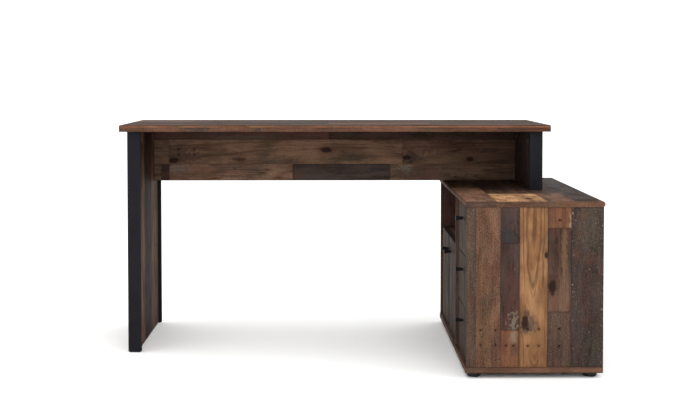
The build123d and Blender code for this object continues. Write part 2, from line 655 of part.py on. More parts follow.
def make_door(name, hinge_edge, inward):
    # inward is +1 or -1: the way from the hinge edge to the meeting line
    free_edge = hinge_edge + inward * door_width
    knob_y = door_meeting - inward * knob_from_meeting
    knob_z = door_top - knob_drop
    cup_y = hinge_edge + inward * hinge_cup_setback

    with BuildPart() as panel:
        block((front_plane, front_back), sorted((hinge_edge, free_edge)), (door_bottom, door_top))
        bore([(front_plane, knob_y, knob_z)], screw_radius + fit_play, 3 * front_thickness, along_x)
        bore([(front_back, cup_y, z) for z in hinge_zs],
             hinge_cup_radius + fit_play, 2 * hinge_cup_depth, along_x)
    save(panel, name)

    with BuildPart() as cups:
        pins([(front_back - hinge_cup_depth / 2, cup_y, z) for z in hinge_zs],
             hinge_cup_radius, hinge_cup_depth, along_x)
        for z in hinge_zs:
            block((front_back, front_back + hinge_flange_thickness),
                  sorted((hinge_edge + inward * hinge_flange_near, hinge_edge + inward * hinge_flange_far)),
                  (z - hinge_flange_half_height, z + hinge_flange_half_height))
        bore([(front_back, cup_y, z) for z in hinge_zs],
             hinge_cup_radius - hinge_cup_wall, 2 * (hinge_cup_depth - hinge_cup_floor), along_x)
        for z in hinge_zs:
            block((front_back - hinge_cup_depth + hinge_bridge_rise, front_back - hinge_cup_floor),
                  (cup_y - hinge_bridge_half_length, cup_y + hinge_bridge_half_length),
                  (z - hinge_bridge_half_height, z + hinge_bridge_half_height))
    save(cups, f"{name}_hinge_cups")

    knob(f"{name}_knob", knob_y, knob_z)
    knob_screw(f"{name}_knob_screw", knob_y, knob_z)


make_door("near_door", divider_far + front_gap, 1)
make_door("far_door", far_inner - front_gap, -1)
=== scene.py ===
import bmesh
import bpy
import itertools
import json
import math
import random
from functools import partial
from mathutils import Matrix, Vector

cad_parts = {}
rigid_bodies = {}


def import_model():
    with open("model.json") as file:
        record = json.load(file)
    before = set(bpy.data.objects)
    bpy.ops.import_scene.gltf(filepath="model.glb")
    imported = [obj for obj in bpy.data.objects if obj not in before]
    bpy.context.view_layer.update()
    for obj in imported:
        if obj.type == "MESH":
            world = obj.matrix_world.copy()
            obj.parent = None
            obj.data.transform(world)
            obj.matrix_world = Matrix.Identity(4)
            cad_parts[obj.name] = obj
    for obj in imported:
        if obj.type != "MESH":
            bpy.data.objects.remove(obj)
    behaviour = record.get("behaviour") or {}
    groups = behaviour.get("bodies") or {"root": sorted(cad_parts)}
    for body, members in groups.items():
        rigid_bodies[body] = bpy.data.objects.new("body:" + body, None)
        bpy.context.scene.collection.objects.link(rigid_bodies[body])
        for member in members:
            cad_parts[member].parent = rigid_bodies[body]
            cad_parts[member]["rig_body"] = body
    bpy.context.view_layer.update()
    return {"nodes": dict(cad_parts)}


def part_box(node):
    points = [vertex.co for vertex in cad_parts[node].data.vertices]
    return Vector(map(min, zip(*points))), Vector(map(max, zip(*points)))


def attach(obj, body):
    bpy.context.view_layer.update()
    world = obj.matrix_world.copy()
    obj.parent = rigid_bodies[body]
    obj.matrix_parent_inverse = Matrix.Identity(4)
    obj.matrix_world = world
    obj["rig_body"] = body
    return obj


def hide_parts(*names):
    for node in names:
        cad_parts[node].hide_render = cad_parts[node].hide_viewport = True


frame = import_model()
millimetre = 0.001
axisNumber = {"x": 0, "y": 1, "z": 2}
print("frame loaded")


def toneFromHex(code, gain=1.0):
    # an sRGB hex colour as linear RGBA, optionally lighter or darker
    parts = [int(code[i:i + 2], 16) / 255 for i in (1, 3, 5)]
    linear = [c / 12.92 if c <= 0.04045 else ((c + 0.055) / 1.055) ** 2.4 for c in parts]
    return (*[min(1.0, c * gain) for c in linear], 1.0)


def addNode(tree, kind, inputs=(), out=0, **settings):
    # adds a node ("Math POWER" sets the operation too), sets it up, links or fills its inputs (a list, or
    # by name), and hands back one output, or the node itself for out=None; an input that takes several
    # links is given a list of sockets
    name, _, operation = kind.partition(" ")
    families = ("ShaderNode", "GeometryNode", "FunctionNode", "")
    node = tree.nodes.new(next(family + name for family in families if hasattr(bpy.types, family + name)))
    if operation:
        node.operation = operation
    for setting, value in settings.items():
        setattr(node, setting, value)
    for key, value in inputs.items() if isinstance(inputs, dict) else enumerate(inputs):
        sources = value if isinstance(value, list) else [value]
        if isinstance(sources[0], bpy.types.NodeSocket):
            for source in sources:
                tree.links.new(source, node.inputs[key])
        else:
            node.inputs[key].default_value = value
    return node if out is None or not node.outputs else node.outputs[out]


def newMaterial(name):
    # an empty material, and the short way to add nodes to it
    material = bpy.data.materials.new(name)
    material.use_nodes = True
    material.node_tree.nodes.clear()
    return material, partial(addNode, material.node_tree)


def finishMaterial(add, colour, roughness, height=None, depth=0.1, constants=None):
    # one opaque shader: patterned colour and roughness, and a bump whose depth is in millimetres
    inputs = {"Base Color": colour, "Roughness": roughness, **(constants or {})}
    if height is not None:
        inputs["Normal"] = add("Bump", {"Height": height, "Distance": depth * millimetre})
    add("OutputMaterial", {"Surface": add("BsdfPrincipled", inputs)})


# Melamine laminate with a printed, lightly embossed picture of reclaimed boards: warm browns and
# plum greys side by side, long grain, knots, nail holes and chipped paint under an even, low sheen.
laminate = {
    "depthOfTone": 0.522,     # how much darker the print is than its colours under full light
    "grainPitch": 5.0,        # mm between the bands of the grain
    "fibrePitch": 1.8,        # mm, coarser than real fibres so that they show
    "fibreLength": 42.0,
    "bandLength": 520.0,
    "driftLength": 260.0,     # slow wander of the grain
    "driftWidth": 90.0,
    "weatherLength": 120.0,   # patches of weathering along and across a plank
    "weatherWidth": 34.0,
    "cloudLength": 85.0,      # rusty bloom and mildew
    "cloudWidth": 50.0,
    "stainLength": 210.0,
    "stainWidth": 60.0,
    "speckleSize": 2.6,       # mm, pores filled with dirt
    "chipSize": 10.0,         # flakes of old paint
    "crackLength": 340.0,
    "crackSpacing": 26.0,
    "knotStretch": 2.0,       # a knot's reach along the grain for one across it
    "figureStretch": 0.085,   # how blunt the arches of the heart grain are
    "seamWidth": 0.8,         # dark line between two planks
    "nailRadius": 2.2,
    "embossDepth": 0.14,
}


def makeLaminate():
    material, add = newMaterial("reclaimedWoodLaminate")
    size = {name: value * millimetre for name, value in laminate.items()}

    def parts(name):
        return add("SeparateXYZ", [add("Attribute", out=1, attribute_name=name)], out=None).outputs

    along, across, _ = parts("plankPlace")             # from the plank's corner, in metres
    length, width, number = parts("plankSize")         # the number differs from plank to plank
    speckle, chipped, figure = parts("plankTraits")    # each from 0 to 1
    firstRow, secondRow, nailSpread = parts("plankNails")
    heartAlong, heartAcross, cracked = parts("plankHeart")

    # lines of grain flow round the knots, as water flows round a post
    flow, knotField = across, None
    for name in ("knotOne", "knotTwo"):
        knotAlong, knotAcross, knotRadius = parts(name)
        du = add("Math DIVIDE", [add("Math SUBTRACT", [along, knotAlong]), laminate["knotStretch"]])
        dv = add("Math SUBTRACT", [across, knotAcross])
        squared = add("Math MULTIPLY_ADD", [du, du, add("Math POWER", [dv, 2.0])])
        post = add("Math DIVIDE", [add("Math POWER", [knotRadius, 2.0]),
            add("Math MAXIMUM", [squared, 1e-8])])
        share = add("Math MINIMUM", [post, 1.0])
        flow = add("Math SUBTRACT", [flow, add("Math MULTIPLY", [dv, share])])
        nearness = add("Math DIVIDE", [add("Math SQRT", [squared]),
            add("Math MAXIMUM", [knotRadius, 1e-5])])
        knotField = nearness if knotField is None else add("Math MINIMUM", [knotField, nearness])

    def sample(alongSize, acrossSize, detail, shift, line=None, rough=0.55):
        # noise stretched along the plank, different on every plank; shift sets two patterns apart
        where = add("CombineXYZ", [add("Math DIVIDE", [along, alongSize]),
            add("Math DIVIDE", [across if line is None else line, acrossSize]),
            add("Math MULTIPLY_ADD", [number, 3.7, shift])])
        return add("TexNoise", {"Vector": where, "Scale": 1.0, "Detail": detail, "Roughness": rough})

    drift = add("Math SUBTRACT", [sample(size["driftLength"], size["driftWidth"], 2.0, 0.3), 0.5])
    wavy = add("Math MULTIPLY_ADD", [drift, 0.03, flow])

    # heart figure: the bands close in long arches about a point of the plank
    offHeart = add("Math SUBTRACT", [wavy, heartAcross])
    archAlong = add("Math MULTIPLY", [add("Math SUBTRACT", [along, heartAlong]), laminate["figureStretch"]])
    arch = add("Math MULTIPLY_ADD", [offHeart, offHeart, add("Math POWER", [archAlong, 2.0])])
    grainLine = add("Mix", {0: figure, 2: wavy, 3: add("Math SQRT", [arch])}, data_type="FLOAT")

    bands = sample(size["bandLength"], size["grainPitch"], 2.0, 1.1, grainLine)
    lateWood = add("MapRange", [bands, 0.47, 0.6, 0.0, 1.0], interpolation_type="SMOOTHSTEP")
    fibres = add("Math SUBTRACT", [sample(size["fibreLength"], size["fibrePitch"], 2.0, 2.9, wavy), 0.5])
    weather = sample(size["weatherLength"], size["weatherWidth"], 4.0, 5.3, wavy)
    weathered = add("MapRange", [weather, 0.34, 0.64, 0.0, 1.0], interpolation_type="SMOOTHSTEP")
    specks = sample(size["speckleSize"] * 1.5, size["speckleSize"], 3.0, 9.1)
    dust = sample(size["speckleSize"] * 1.3, size["speckleSize"] * 1.1, 2.0, 12.4)
    cloud = sample(size["cloudLength"], size["cloudWidth"], 3.0, 21.3)
    stain = sample(size["stainLength"], size["stainWidth"], 3.0, 7.7)
    flakes = sample(size["chipSize"] * 1.5, size["chipSize"], 5.0, 17.5, rough=0.7)
    crackNoise = sample(size["crackLength"], size["crackSpacing"], 2.0, 14.2, wavy)

    # the two tones of the plank, mixed by weathering, bands and fibres
    lineWeight = add("MapRange", [figure, 0.0, 1.0, -0.22, -0.62])
    mixing = add("Math MULTIPLY_ADD", [weathered, 0.55, 0.32])
    mixing = add("Math MULTIPLY_ADD", [lateWood, lineWeight, mixing])
    mixing = add("Math MULTIPLY_ADD", [fibres, 0.7, mixing])
    toneDark = add("Attribute", attribute_name="toneDark")
    toneLight = add("Attribute", attribute_name="toneLight")
    colour = add("Mix", {0: mixing, 6: toneDark, 7: toneLight}, 2, data_type="RGBA")

    # thin drying cracks that open only here and there
    crackLine = add("Math ABSOLUTE", [add("Math SUBTRACT", [crackNoise, 0.5])])
    cracks = add("Math MULTIPLY", [add("MapRange", [crackLine, 0.004, 0.014, 1.0, 0.0]),
        add("MapRange", [weather, 0.48, 0.56, 1.0, 0.0])])
    cracks = add("Math MULTIPLY", [cracks, cracked])

    # knots: a dark ragged core with rings, and a smoky halo along the grain
    ringWave = add("Math SINE", [add("Math MULTIPLY", [knotField, 16.0])])
    roughKnot = add("Math MULTIPLY_ADD", [add("Math SUBTRACT", [flakes, 0.5]), 1.7, knotField])
    knotCore = add("Math MULTIPLY", [add("MapRange", [roughKnot, 0.7, 1.15, 1.0, 0.0]),
        add("MapRange", [ringWave, -1.0, 1.0, 0.78, 0.95])])

    # nail holes with a rusty ring, two rows of two
    toRow = [add("Math ABSOLUTE", [add("Math SUBTRACT", [along, row])]) for row in (firstRow, secondRow)]
    nailAlong = add("Math MINIMUM", toRow)
    fromMiddle = add("Math ABSOLUTE", [add("Math MULTIPLY_ADD", [width, -0.5, across])])
    nailAcross = add("Math MULTIPLY_ADD", [nailSpread, -0.5, fromMiddle])
    nailReach = add("Math MULTIPLY_ADD", [nailAlong, nailAlong,
        add("Math MULTIPLY", [nailAcross, nailAcross])])
    nailReach = add("Math SQRT", [nailReach])
    nailHole = add("MapRange", [nailReach, size["nailRadius"] * 0.8, size["nailRadius"] * 1.3, 1.0, 0.0])

    # a dark seam round every plank, ragged as the sawn edges are
    sides = add("Math MINIMUM", [across, add("Math SUBTRACT", [width, across])])
    ends = add("Math MINIMUM", [along, add("Math SUBTRACT", [length, along])])
    edge = add("Math MINIMUM", [sides, ends])
    ragged = add("Math MULTIPLY_ADD", [add("Math SUBTRACT", [specks, 0.5]), -3 * millimetre, edge])
    seamDepth = add("Attribute", out=3, attribute_name="toneLight")    # its alpha says how deep the seam is
    seam = add("MapRange", [ragged, size["seamWidth"] * 0.3, size["seamWidth"] * 1.4, 0.55, 0.0])
    seam = add("Math MULTIPLY", [seam, seamDepth])
    wornEdge = add("Math MULTIPLY", [add("MapRange", [ragged, 0.0, size["seamWidth"] * 9, 0.28, 0.0]),
        seamDepth])

    # old paint, flaked off mostly along the plank's sides; a plank without chips has none
    sheltered = add("MapRange", [sides, 0.0, 0.022, 0.0, 0.07])
    chipLimit = add("Math ADD", [add("Math MULTIPLY_ADD", [chipped, -0.2, 0.72]), sheltered])
    chips = add("MapRange", [flakes, chipLimit, add("Math ADD", [chipLimit, 0.03]), 0.0, 0.75])
    chips = add("Math MULTIPLY", [chips, add("Math GREATER_THAN", [chipped, 0.01])])

    # patches of stain, scuffed paint or bare wood, with ragged edges that follow the grain
    patches = []
    for name in ("One", "Two"):
        patchAlong, patchAcross, patchAmount = parts("patchPlace" + name)
        reachAlong, reachAcross, broken = parts("patchReach" + name)
        nearAlong = add("Math DIVIDE", [add("Math SUBTRACT", [along, patchAlong]), reachAlong])
        nearAcross = add("Math DIVIDE", [add("Math SUBTRACT", [across, patchAcross]), reachAcross])
        away = add("Math MULTIPLY_ADD", [nearAlong, nearAlong, add("Math POWER", [nearAcross, 2.0])])
        away = add("Math MULTIPLY_ADD", [add("Math ADD", [fibres, 0.9]), 0.7, add("Math SQRT", [away])])
        away = add("Math MULTIPLY_ADD", [add("Math SUBTRACT", [flakes, 0.5]),
            add("Math MULTIPLY", [broken, 6.0]), away])
        inside = add("MapRange", [away, 1.15, 1.85, 1.0, 0.0], interpolation_type="SMOOTHSTEP")
        patches.append((add("Math MULTIPLY", [inside, patchAmount]),
            add("Attribute", attribute_name="patchTone" + name)))

    # what lies over the wood, from the bottom up: how much of it, and its colour
    speckled = add("MapRange", [specks, 0.49, 0.64, 0.0, 0.68])
    dusty = add("MapRange", [dust, 0.56, 0.72, 0.0, 0.42])
    layers = [
        (add("MapRange", [stain, 0.52, 0.7, 0.0, 0.5]), "#43302c"),       # plum stain
        (add("MapRange", [cloud, 0.54, 0.7, 0.0, 0.5]), "#6b4436"),       # rusty bloom
        (add("MapRange", [cloud, 0.46, 0.3, 0.0, 0.5]), "#4d483b"),       # grey green mildew
        *patches,
        (add("Math MULTIPLY", [speckled, speckle]), "#35261f"),
        (add("Math MULTIPLY", [dusty, speckle]), "#a5917c"),
        (add("Math MULTIPLY", [cracks, 0.8]), "#211714"),
        (add("MapRange", [roughKnot, 0.9, 2.3, 0.5, 0.0]), "#553a2a"),
        (knotCore, "#2a1e1b"),
        (chips, "#b5a893"),
        (add("MapRange", [nailReach, size["nailRadius"], size["nailRadius"] * 4, 0.5, 0.0]), "#3d2a22"),
        (nailHole, "#140e0c"),
        (wornEdge, "#3a2b26"),
        (seam, "#1d1512"),
    ]
    for amount, tone in layers:
        over = toneFromHex(tone, laminate["depthOfTone"]) if isinstance(tone, str) else tone
        colour = add("Mix", {0: amount, 6: colour, 7: over}, 2, data_type="RGBA")

    hollows = add("Math ADD", [add("Math ADD", [cracks, seam]), add("Math ADD", [nailHole, knotCore])])
    height = add("Math MULTIPLY_ADD", [fibres, 0.6, add("Math MULTIPLY", [lateWood, 0.25])])
    height = add("Math MULTIPLY_ADD", [hollows, -0.6, height])
    roughness = add("Math MULTIPLY_ADD", [weathered, -0.08, add("Math MULTIPLY_ADD", [fibres, 0.16, 0.64])])
    finishMaterial(add, colour, roughness, height, laminate["embossDepth"],
        {"IOR": 1.45, "Specular IOR Level": 0.015})
    return material


# Finishes for everything that isn't printed board: light and dark tone, size in mm of the patches, of
# the fine grain and of the bump's depth, range of roughness, and the material slot that each one fills.
finishes = {
    # melamine-faced strip, moulded against a fine stipple plate: flat, dead matt, greyish black
    "anthraciteLaminate": dict(tones=("#1a1a1e", "#141417"), patch=60, fine=1.6, rough=(0.6, 0.72),
        depth=0.05, sheen=0.06, slot="anthracite_laminate"),
    # powder-coated zinc knob: black with a soft broken sheen from its orange peel
    "blackPowderCoat": dict(tones=("#151415", "#0e0e0f"), patch=9, fine=0.9, rough=(0.32, 0.46),
        depth=0.05, slot="black_plastic"),
    # injection-moulded polypropylene foot: slightly greyer and waxier than the knobs
    "blackMouldedPlastic": dict(tones=("#1b1b1c", "#131314"), patch=14, fine=1.2, rough=(0.42, 0.55),
        depth=0.06, slot="black_plastic"),
    # bright zinc plating on pressed steel: bluish grey with cloudy spangle
    "zincPlatedSteel": dict(tones=("#b9bcc0", "#8e9296"), patch=7, fine=0.8, rough=(0.26, 0.42),
        depth=0.02, metal=1.0, slot="zinc_plated_steel"),
    # die-cast cam: duller and yellower than plated steel
    "dieCastZinc": dict(tones=("#a5a39c", "#7f7d77"), patch=4, fine=0.7, rough=(0.36, 0.52),
        depth=0.05, metal=1.0, slot="zinc_plated_steel"),
    # cast cam lacquered in the print's brown, so that it doesn't catch the eye under the desktop
    "brownLacqueredZinc": dict(tones=("#4b382e", "#3a2b24"), patch=4, fine=0.8, rough=(0.48, 0.6),
        depth=0.03, slot="zinc_plated_steel"),
    # turned beech dowel: pale pinkish tan with short brown flecks
    "turnedBeech": dict(tones=("#d3ab7d", "#b98c5e"), patch=11, fine=1.1, rough=(0.55, 0.68),
        depth=0.08, slot="beech_dowel"),
    # moulded guide strip: off-white polypropylene with a dull slide track
    "whiteGuidePlastic": dict(tones=("#cfcdc6", "#bdbab2"), patch=35, fine=1.5, rough=(0.36, 0.5),
        depth=0.03, slot="guide_plastic"),
    # hardboard drawer bottom: smooth brown pressed fibres with a mottled face
    "pressedHardboard": dict(tones=("#8a6646", "#6d4e35"), patch=28, fine=1.9, rough=(0.6, 0.75),
        depth=0.07, slot="hardboard"),
    # sawn chipboard core: pale chips, glue-dark gaps, no sheen
    "rawChipboard": dict(tones=("#c1a077", "#8b6a48"), patch=5, fine=1.6, rough=(0.78, 0.9), depth=0.3),
    # foil-wrapped drawer side: grey-beige foil with a faint linen print
    "linenPrintedFoil": dict(tones=("#8d867c", "#7a7369"), patch=70, fine=1.4, rough=(0.42, 0.56),
        depth=0.03, stretch=(1.0, 1.0, 0.25), slot="drawer_box_foil"),
}


def makeFinish(name):
    look = finishes[name]
    material, add = newMaterial(name)
    where = add("TexCoord", out=3)
    stretched = add("Mapping", {"Vector": where, "Scale": look.get("stretch", (1.0, 1.0, 1.0))})
    patches = add("TexNoise", {"Vector": where, "Scale": 1 / (look["patch"] * millimetre), "Detail": 3.0})
    fine = add("TexNoise", {"Vector": stretched, "Scale": 1 / (look["fine"] * millimetre), "Detail": 2.0})
    cells = add("TexVoronoi", {"Vector": stretched, "Scale": 0.5 / (look["fine"] * millimetre)})
    blend = add("Math MULTIPLY_ADD", [patches, 0.65, add("Math MULTIPLY", [fine, 0.35])])
    spread = add("MapRange", [blend, 0.32, 0.68, 0.0, 1.0])
    light, dark = (toneFromHex(tone) for tone in look["tones"])
    colour = add("Mix", {0: spread, 6: dark, 7: light}, 2, data_type="RGBA")
    pits = add("MapRange", [cells, 0.0, 0.35, 0.35, 0.0])
    colour = add("Mix", {0: pits, 6: colour, 7: dark}, 2, data_type="RGBA")
    roughness = add("MapRange", [blend, 0.3, 0.7, *look["rough"]])
    height = add("Math MULTIPLY_ADD", [cells, 0.5, fine])
    constants = {"IOR": 1.48, "Specular IOR Level": look.get("sheen", 0.2)}
    if "metal" in look:
        constants = {"Metallic": look["metal"]}
    finishMaterial(add, colour, roughness, height, look["depth"], constants)
    return material


made = {"reclaimedWoodLaminate": makeLaminate()}
made.update({name: makeFinish(name) for name in finishes})
print("finishes made:", len(made))


# Each kind of reclaimed board in the print: its light and dark tone, then how much of it is
# speckled with dirt, chipped, drawn with heart grain, and cracked.
plankKinds = {
    "rust": ("#8b6650", "#5a3f33", 1.0, 0.0, 0.0, 0.2),
    "plum": ("#6f574b", "#4c3a33", 0.9, 0.0, 0.0, 0.2),
    "plumRed": ("#64453e", "#40302e", 0.3, 0.15, 0.0, 0.4),
    "charcoal": ("#544541", "#322927", 0.3, 0.12, 0.0, 0.6),
    "slate": ("#584c48", "#342b29", 0.55, 0.4, 0.0, 0.5),
    "orange": ("#92634a", "#5f3f2f", 0.4, 0.1, 0.0, 0.3),
    "pine": ("#b5875f", "#7a5439", 0.1, 0.0, 1.0, 0.25),
    "gold": ("#bf946c", "#8c6747", 0.15, 0.0, 0.6, 0.3),
    "umber": ("#725847", "#42332a", 0.35, 0.1, 0.2, 0.7),
    "brown": ("#6e5443", "#453328", 0.4, 0.0, 0.4, 0.9),
    "dusk": ("#4f3a33", "#302320", 0.4, 0.0, 0.1, 0.7),
    "bare": ("#8b6450", "#5f4234", 0.8, 0.0, 0.0, 0.2),
}
commonKinds = ["rust", "plum", "plumRed", "charcoal", "slate", "umber", "brown", "umber", "rust",
    "brown", "pine"]


def plank(length, kind, gain=1.0, knots=(), nails=None, **changes):
    # a plank's length in mm (None for all that is left), its kind and how much lighter than its kind it
    # is, knots as (along, across, radius) in mm, nails as (first row, second row, spread), and anything
    # else that differs: patches are (along, across, reach along, reach across, colour, amount, how broken)
    return {"length": length, "kind": kind, "gain": gain, "knots": knots, "nails": nails, **changes}


def whole(width, kind, gain=1.0, **changes):
    # a row that is one plank from end to end
    return width, [plank(None, kind, gain, **changes)]


def scatteredRows(span, length, seed, widths=(58, 104), lengths=(240, 760)):
    # rows of planks for a surface that nobody has laid out by hand
    draw = random.Random(seed)
    rows, filled = [], 0.0
    while filled < span:
        width = draw.uniform(*widths)
        if span - filled - width < widths[0] * 0.7:
            width = span - filled
        pieces, reached = [], -draw.uniform(0, 200)
        while reached < length:
            run = draw.uniform(*lengths)
            knots = [(draw.uniform(30, run - 30), draw.uniform(12, width - 12), draw.uniform(3, 9))
                for _ in range(draw.choice((0, 0, 1, 1, 2)))]
            nails = (18, run - 18, width * 0.5) if draw.random() < 0.35 else None
            shown = run + min(0.0, reached)
            pieces.append(plank(shown, draw.choice(commonKinds), draw.uniform(0.88, 1.1), knots, nails))
            reached += run
        rows.append((width, pieces))
        filled += width
    return rows


def mergedCopy(node):
    # a CAD node's mesh, welded, as a new one
    mesh = frame["nodes"][node].data.copy()
    mesh.name = node + "Mesh"
    mesh.materials.clear()
    shape = bmesh.new()
    shape.from_mesh(mesh)
    bmesh.ops.remove_doubles(shape, verts=shape.verts, dist=0.002 * millimetre)
    bmesh.ops.dissolve_limit(shape, angle_limit=math.radians(0.6), verts=shape.verts, edges=shape.edges)
    return mesh, shape


def easeEdges(shape, radius, shortest=18.0, segments=2):
    # takes the sharpness off a piece's long straight edges, as its edge banding does
    sharp = [e for e in shape.edges if len(e.link_faces) == 2 and e.calc_length() > shortest * millimetre
        and e.is_convex and e.calc_face_angle() > math.radians(50)]
    bmesh.ops.bevel(shape, geom=sharp, offset=radius * millimetre, segments=segments, profile=0.5,
        affect="EDGES", clamp_overlap=True)
    bmesh.ops.remove_doubles(shape, verts=shape.verts, dist=0.004 * millimetre)


def placePiece(mesh, node, ending, *materials):
    # the finished mesh becomes an object that stands in for its node and rides on its body
    piece = bpy.data.objects.new(node + ending, mesh)
    bpy.context.scene.collection.objects.link(piece)
    for name in materials:
        mesh.materials.append(made[name])
    mesh.shade_smooth()
    mesh.set_sharp_from_angle(angle=math.radians(32))
    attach(piece, frame["nodes"][node]["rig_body"])
    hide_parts(node)


def inMetres(values):
    return tuple(v * millimetre for v in values)


# what each face and each corner of a board carries for the laminate to read
faceVectors = ("plankSize", "plankTraits", "plankNails", "plankHeart", "knotOne", "knotTwo",
    "patchPlaceOne", "patchReachOne", "patchPlaceTwo", "patchReachTwo")
faceTones = ("patchToneOne", "patchToneTwo")
cornerTones = ("toneLight", "toneDark")
traitNames = ("speckle", "chips", "figure")
nowhere = -9000    # mm, where the knots, nails and patches lie that a plank doesn't have
sliver = 1e-5      # metres, the narrowest strip that is cut off a board's side


def plankRecord(row, piece, length, number):
    # what the laminate reads on one plank, whose width and length are in mm
    kind = plankKinds[piece["kind"]]
    knots = [*piece["knots"], *[(nowhere, 0, 0)] * 2]
    patches = [*piece.get("patches", ()), *[(nowhere, 0, 1, 1, "#000000", 0.0, 0.0)] * 2]
    heart = piece.get("heart", (length * (0.2 + 0.6 * (number * 0.618 % 1)), row * 0.5))
    gain = piece["gain"] * laminate["depthOfTone"]
    ends = [plankKinds[name] for name in (piece["kind"], piece.get("fadeTo", piece["kind"]))]
    record = {
        "plankSize": (*inMetres((length, row)), number),
        "plankTraits": [piece.get(trait, kind[2 + i]) for i, trait in enumerate(traitNames)],
        "plankNails": inMetres(piece["nails"] or (nowhere, nowhere, 0)),
        "plankHeart": (*inMetres(heart), piece.get("cracks", kind[5])),
        "knotOne": inMetres(knots[0]),
        "knotTwo": inMetres(knots[1]),
        "toneLight": [toneFromHex(end[0], gain)[:3] for end in ends],
        "toneDark": [toneFromHex(end[1], gain)[:3] for end in ends],
        "seam": piece.get("seam", 1.0),
    }
    for name, (u, v, reachU, reachV, tone, amount, broken) in zip(("One", "Two"), patches):
        record["patchPlace" + name] = (*inMetres((u, v)), amount)
        record["patchReach" + name] = (*inMetres((reachU, reachV)), broken)
        record["patchTone" + name] = toneFromHex(tone, laminate["depthOfTone"])
    return record


def layPlanks(rows, start, end, seed):
    # lays rows of planks from start to end, both (along, across) in mm; the last plank of a row, and
    # the last row, take what is left: (low across, high across, low along, high along, record)
    table, across = [], start[1]
    for index, (width, pieces) in enumerate(rows):
        width = end[1] - across if index == len(rows) - 1 else width
        along = start[0]
        for place, piece in enumerate(pieces):
            last = piece["length"] is None or place == len(pieces) - 1
            run = end[0] - along if last else piece["length"]
            number = (seed * 7.13 + index * 3.7 + place * 1.9) % 97    # any number, its own
            table.append((across, across + width, along, along + run,
                plankRecord(width, piece, run, number)))
            along += run
        across += width
    return table


def sideOf(face):
    axis = max(range(3), key=lambda i: abs(face.normal[i]))
    return axis, face.normal[axis] > 0


def cutAlongSeams(shape, plans, low, high):
    # cuts each side along its seams, rows before planks, so that every face lies in one plank
    for side, (along, across, table) in plans.items():
        seams = sorted({(across, entry[0], -math.inf, math.inf) for entry in table})
        seams += sorted({(along, entry[2], *entry[:2]) for entry in table})
        for direction, place, rowLow, rowHigh in seams:
            place *= millimetre
            if not low[direction] + sliver < place < high[direction] - sliver:
                continue
            geometry = set()
            for face in shape.faces:
                middle = face.calc_center_median()[across] / millimetre
                if sideOf(face) == side and rowLow <= middle <= rowHigh:
                    geometry.update((face, *face.edges, *face.verts))
            normal = Vector([1.0 if i == direction else 0.0 for i in range(3)])
            bmesh.ops.bisect_plane(shape, geom=list(geometry), dist=sliver / 100,
                plane_co=normal * place, plane_no=normal)
    shape.normal_update()


def writePlanks(mesh, records):
    # gives every face the record of its plank, and every corner its place on the plank and its tones
    mesh.attributes.new("plankPlace", "FLOAT_VECTOR", "CORNER")
    for names, kind, domain in ((faceVectors, "FLOAT_VECTOR", "FACE"), (faceTones, "FLOAT_COLOR", "FACE"),
                                (cornerTones, "FLOAT_COLOR", "CORNER")):
        for name in names:
            mesh.attributes.new(name, kind, domain)
    layers = {layer.name: layer.data for layer in mesh.attributes}
    for polygon in mesh.polygons:
        along, across, (lowAcross, _, lowAlong, highAlong, record) = records[polygon.index]
        for name in faceVectors:
            layers[name][polygon.index].vector = record[name]
        for name in faceTones:
            layers[name][polygon.index].color = record[name]
        for corner in polygon.loop_indices:
            point = mesh.vertices[mesh.loops[corner].vertex_index].co / millimetre
            u, v = point[along] - lowAlong, point[across] - lowAcross
            layers["plankPlace"][corner].vector = inMetres((u, v, 0.0))
            share = min(1.0, max(0.0, u / (highAlong - lowAlong)))
            for name in cornerTones:
                tone = [a + (b - a) * share for a, b in zip(*record[name])]
                layers[name][corner].color = (*tone, record["seam"])


boardNumber = 0


def cladBoard(node, grain, layouts, ease=0.6, nose=0.0, edgeKind="rust", starts=None):
    # A board in printed laminate. layouts gives, for a side such as "-y", its rows of planks from
    # low to high; the narrow sides are banded with one long strip. starts moves a side's first plank
    # back to where the print began before the board was cut from it, as (along, across) in mm.
    global boardNumber
    boardNumber += 1
    mesh, shape = mergedCopy(node)
    low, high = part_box(node)
    sizes = high - low
    thin = min(range(3), key=lambda i: sizes[i])
    easeEdges(shape, ease)
    shape.normal_update()

    plans = {}
    for axis, positive in itertools.product(range(3), (False, True)):
        side = "-+"[positive] + "xyz"[axis]
        others = [i for i in range(3) if i != axis]
        along = axisNumber[grain] if axis == thin else max(others, key=lambda i: sizes[i])
        across = sum(others) - along
        start = (starts or {}).get(side, (low[along] / millimetre, low[across] / millimetre))
        end = (high[along] / millimetre, high[across] / millimetre)
        seed = boardNumber * 10 + axis * 2 + positive
        rows = layouts.get(side)
        if rows is None and axis == thin:
            rows = scatteredRows(end[1] - start[1], end[0] - start[0], seed)
        if rows is None:
            rows = [whole(end[1] - start[1], edgeKind, speckle=0.5)]
        plans[(axis, positive)] = (along, across, layPlanks(rows, start, end, seed))
    cutAlongSeams(shape, plans, low, high)

    # faces of bores and grooves show the raw chipboard
    margin = (ease + nose + 0.3) * millimetre
    records = []
    for face in shape.faces:
        along, across, table = plans[sideOf(face)]
        middle = face.calc_center_median()
        u, v = middle[along] / millimetre, middle[across] / millimetre
        inside = all(min(middle[i] - low[i], high[i] - middle[i]) > margin for i in range(3))
        entry = min(table, key=lambda t: max(t[0] - v, v - t[1], 0) + max(t[2] - u, u - t[3], 0))
        face.material_index = 1 if inside else 0
        records.append((along, across, entry))
    shape.to_mesh(mesh)
    shape.free()
    writePlanks(mesh, records)
    placePiece(mesh, node, "_clad", "reclaimedWoodLaminate", "rawChipboard")


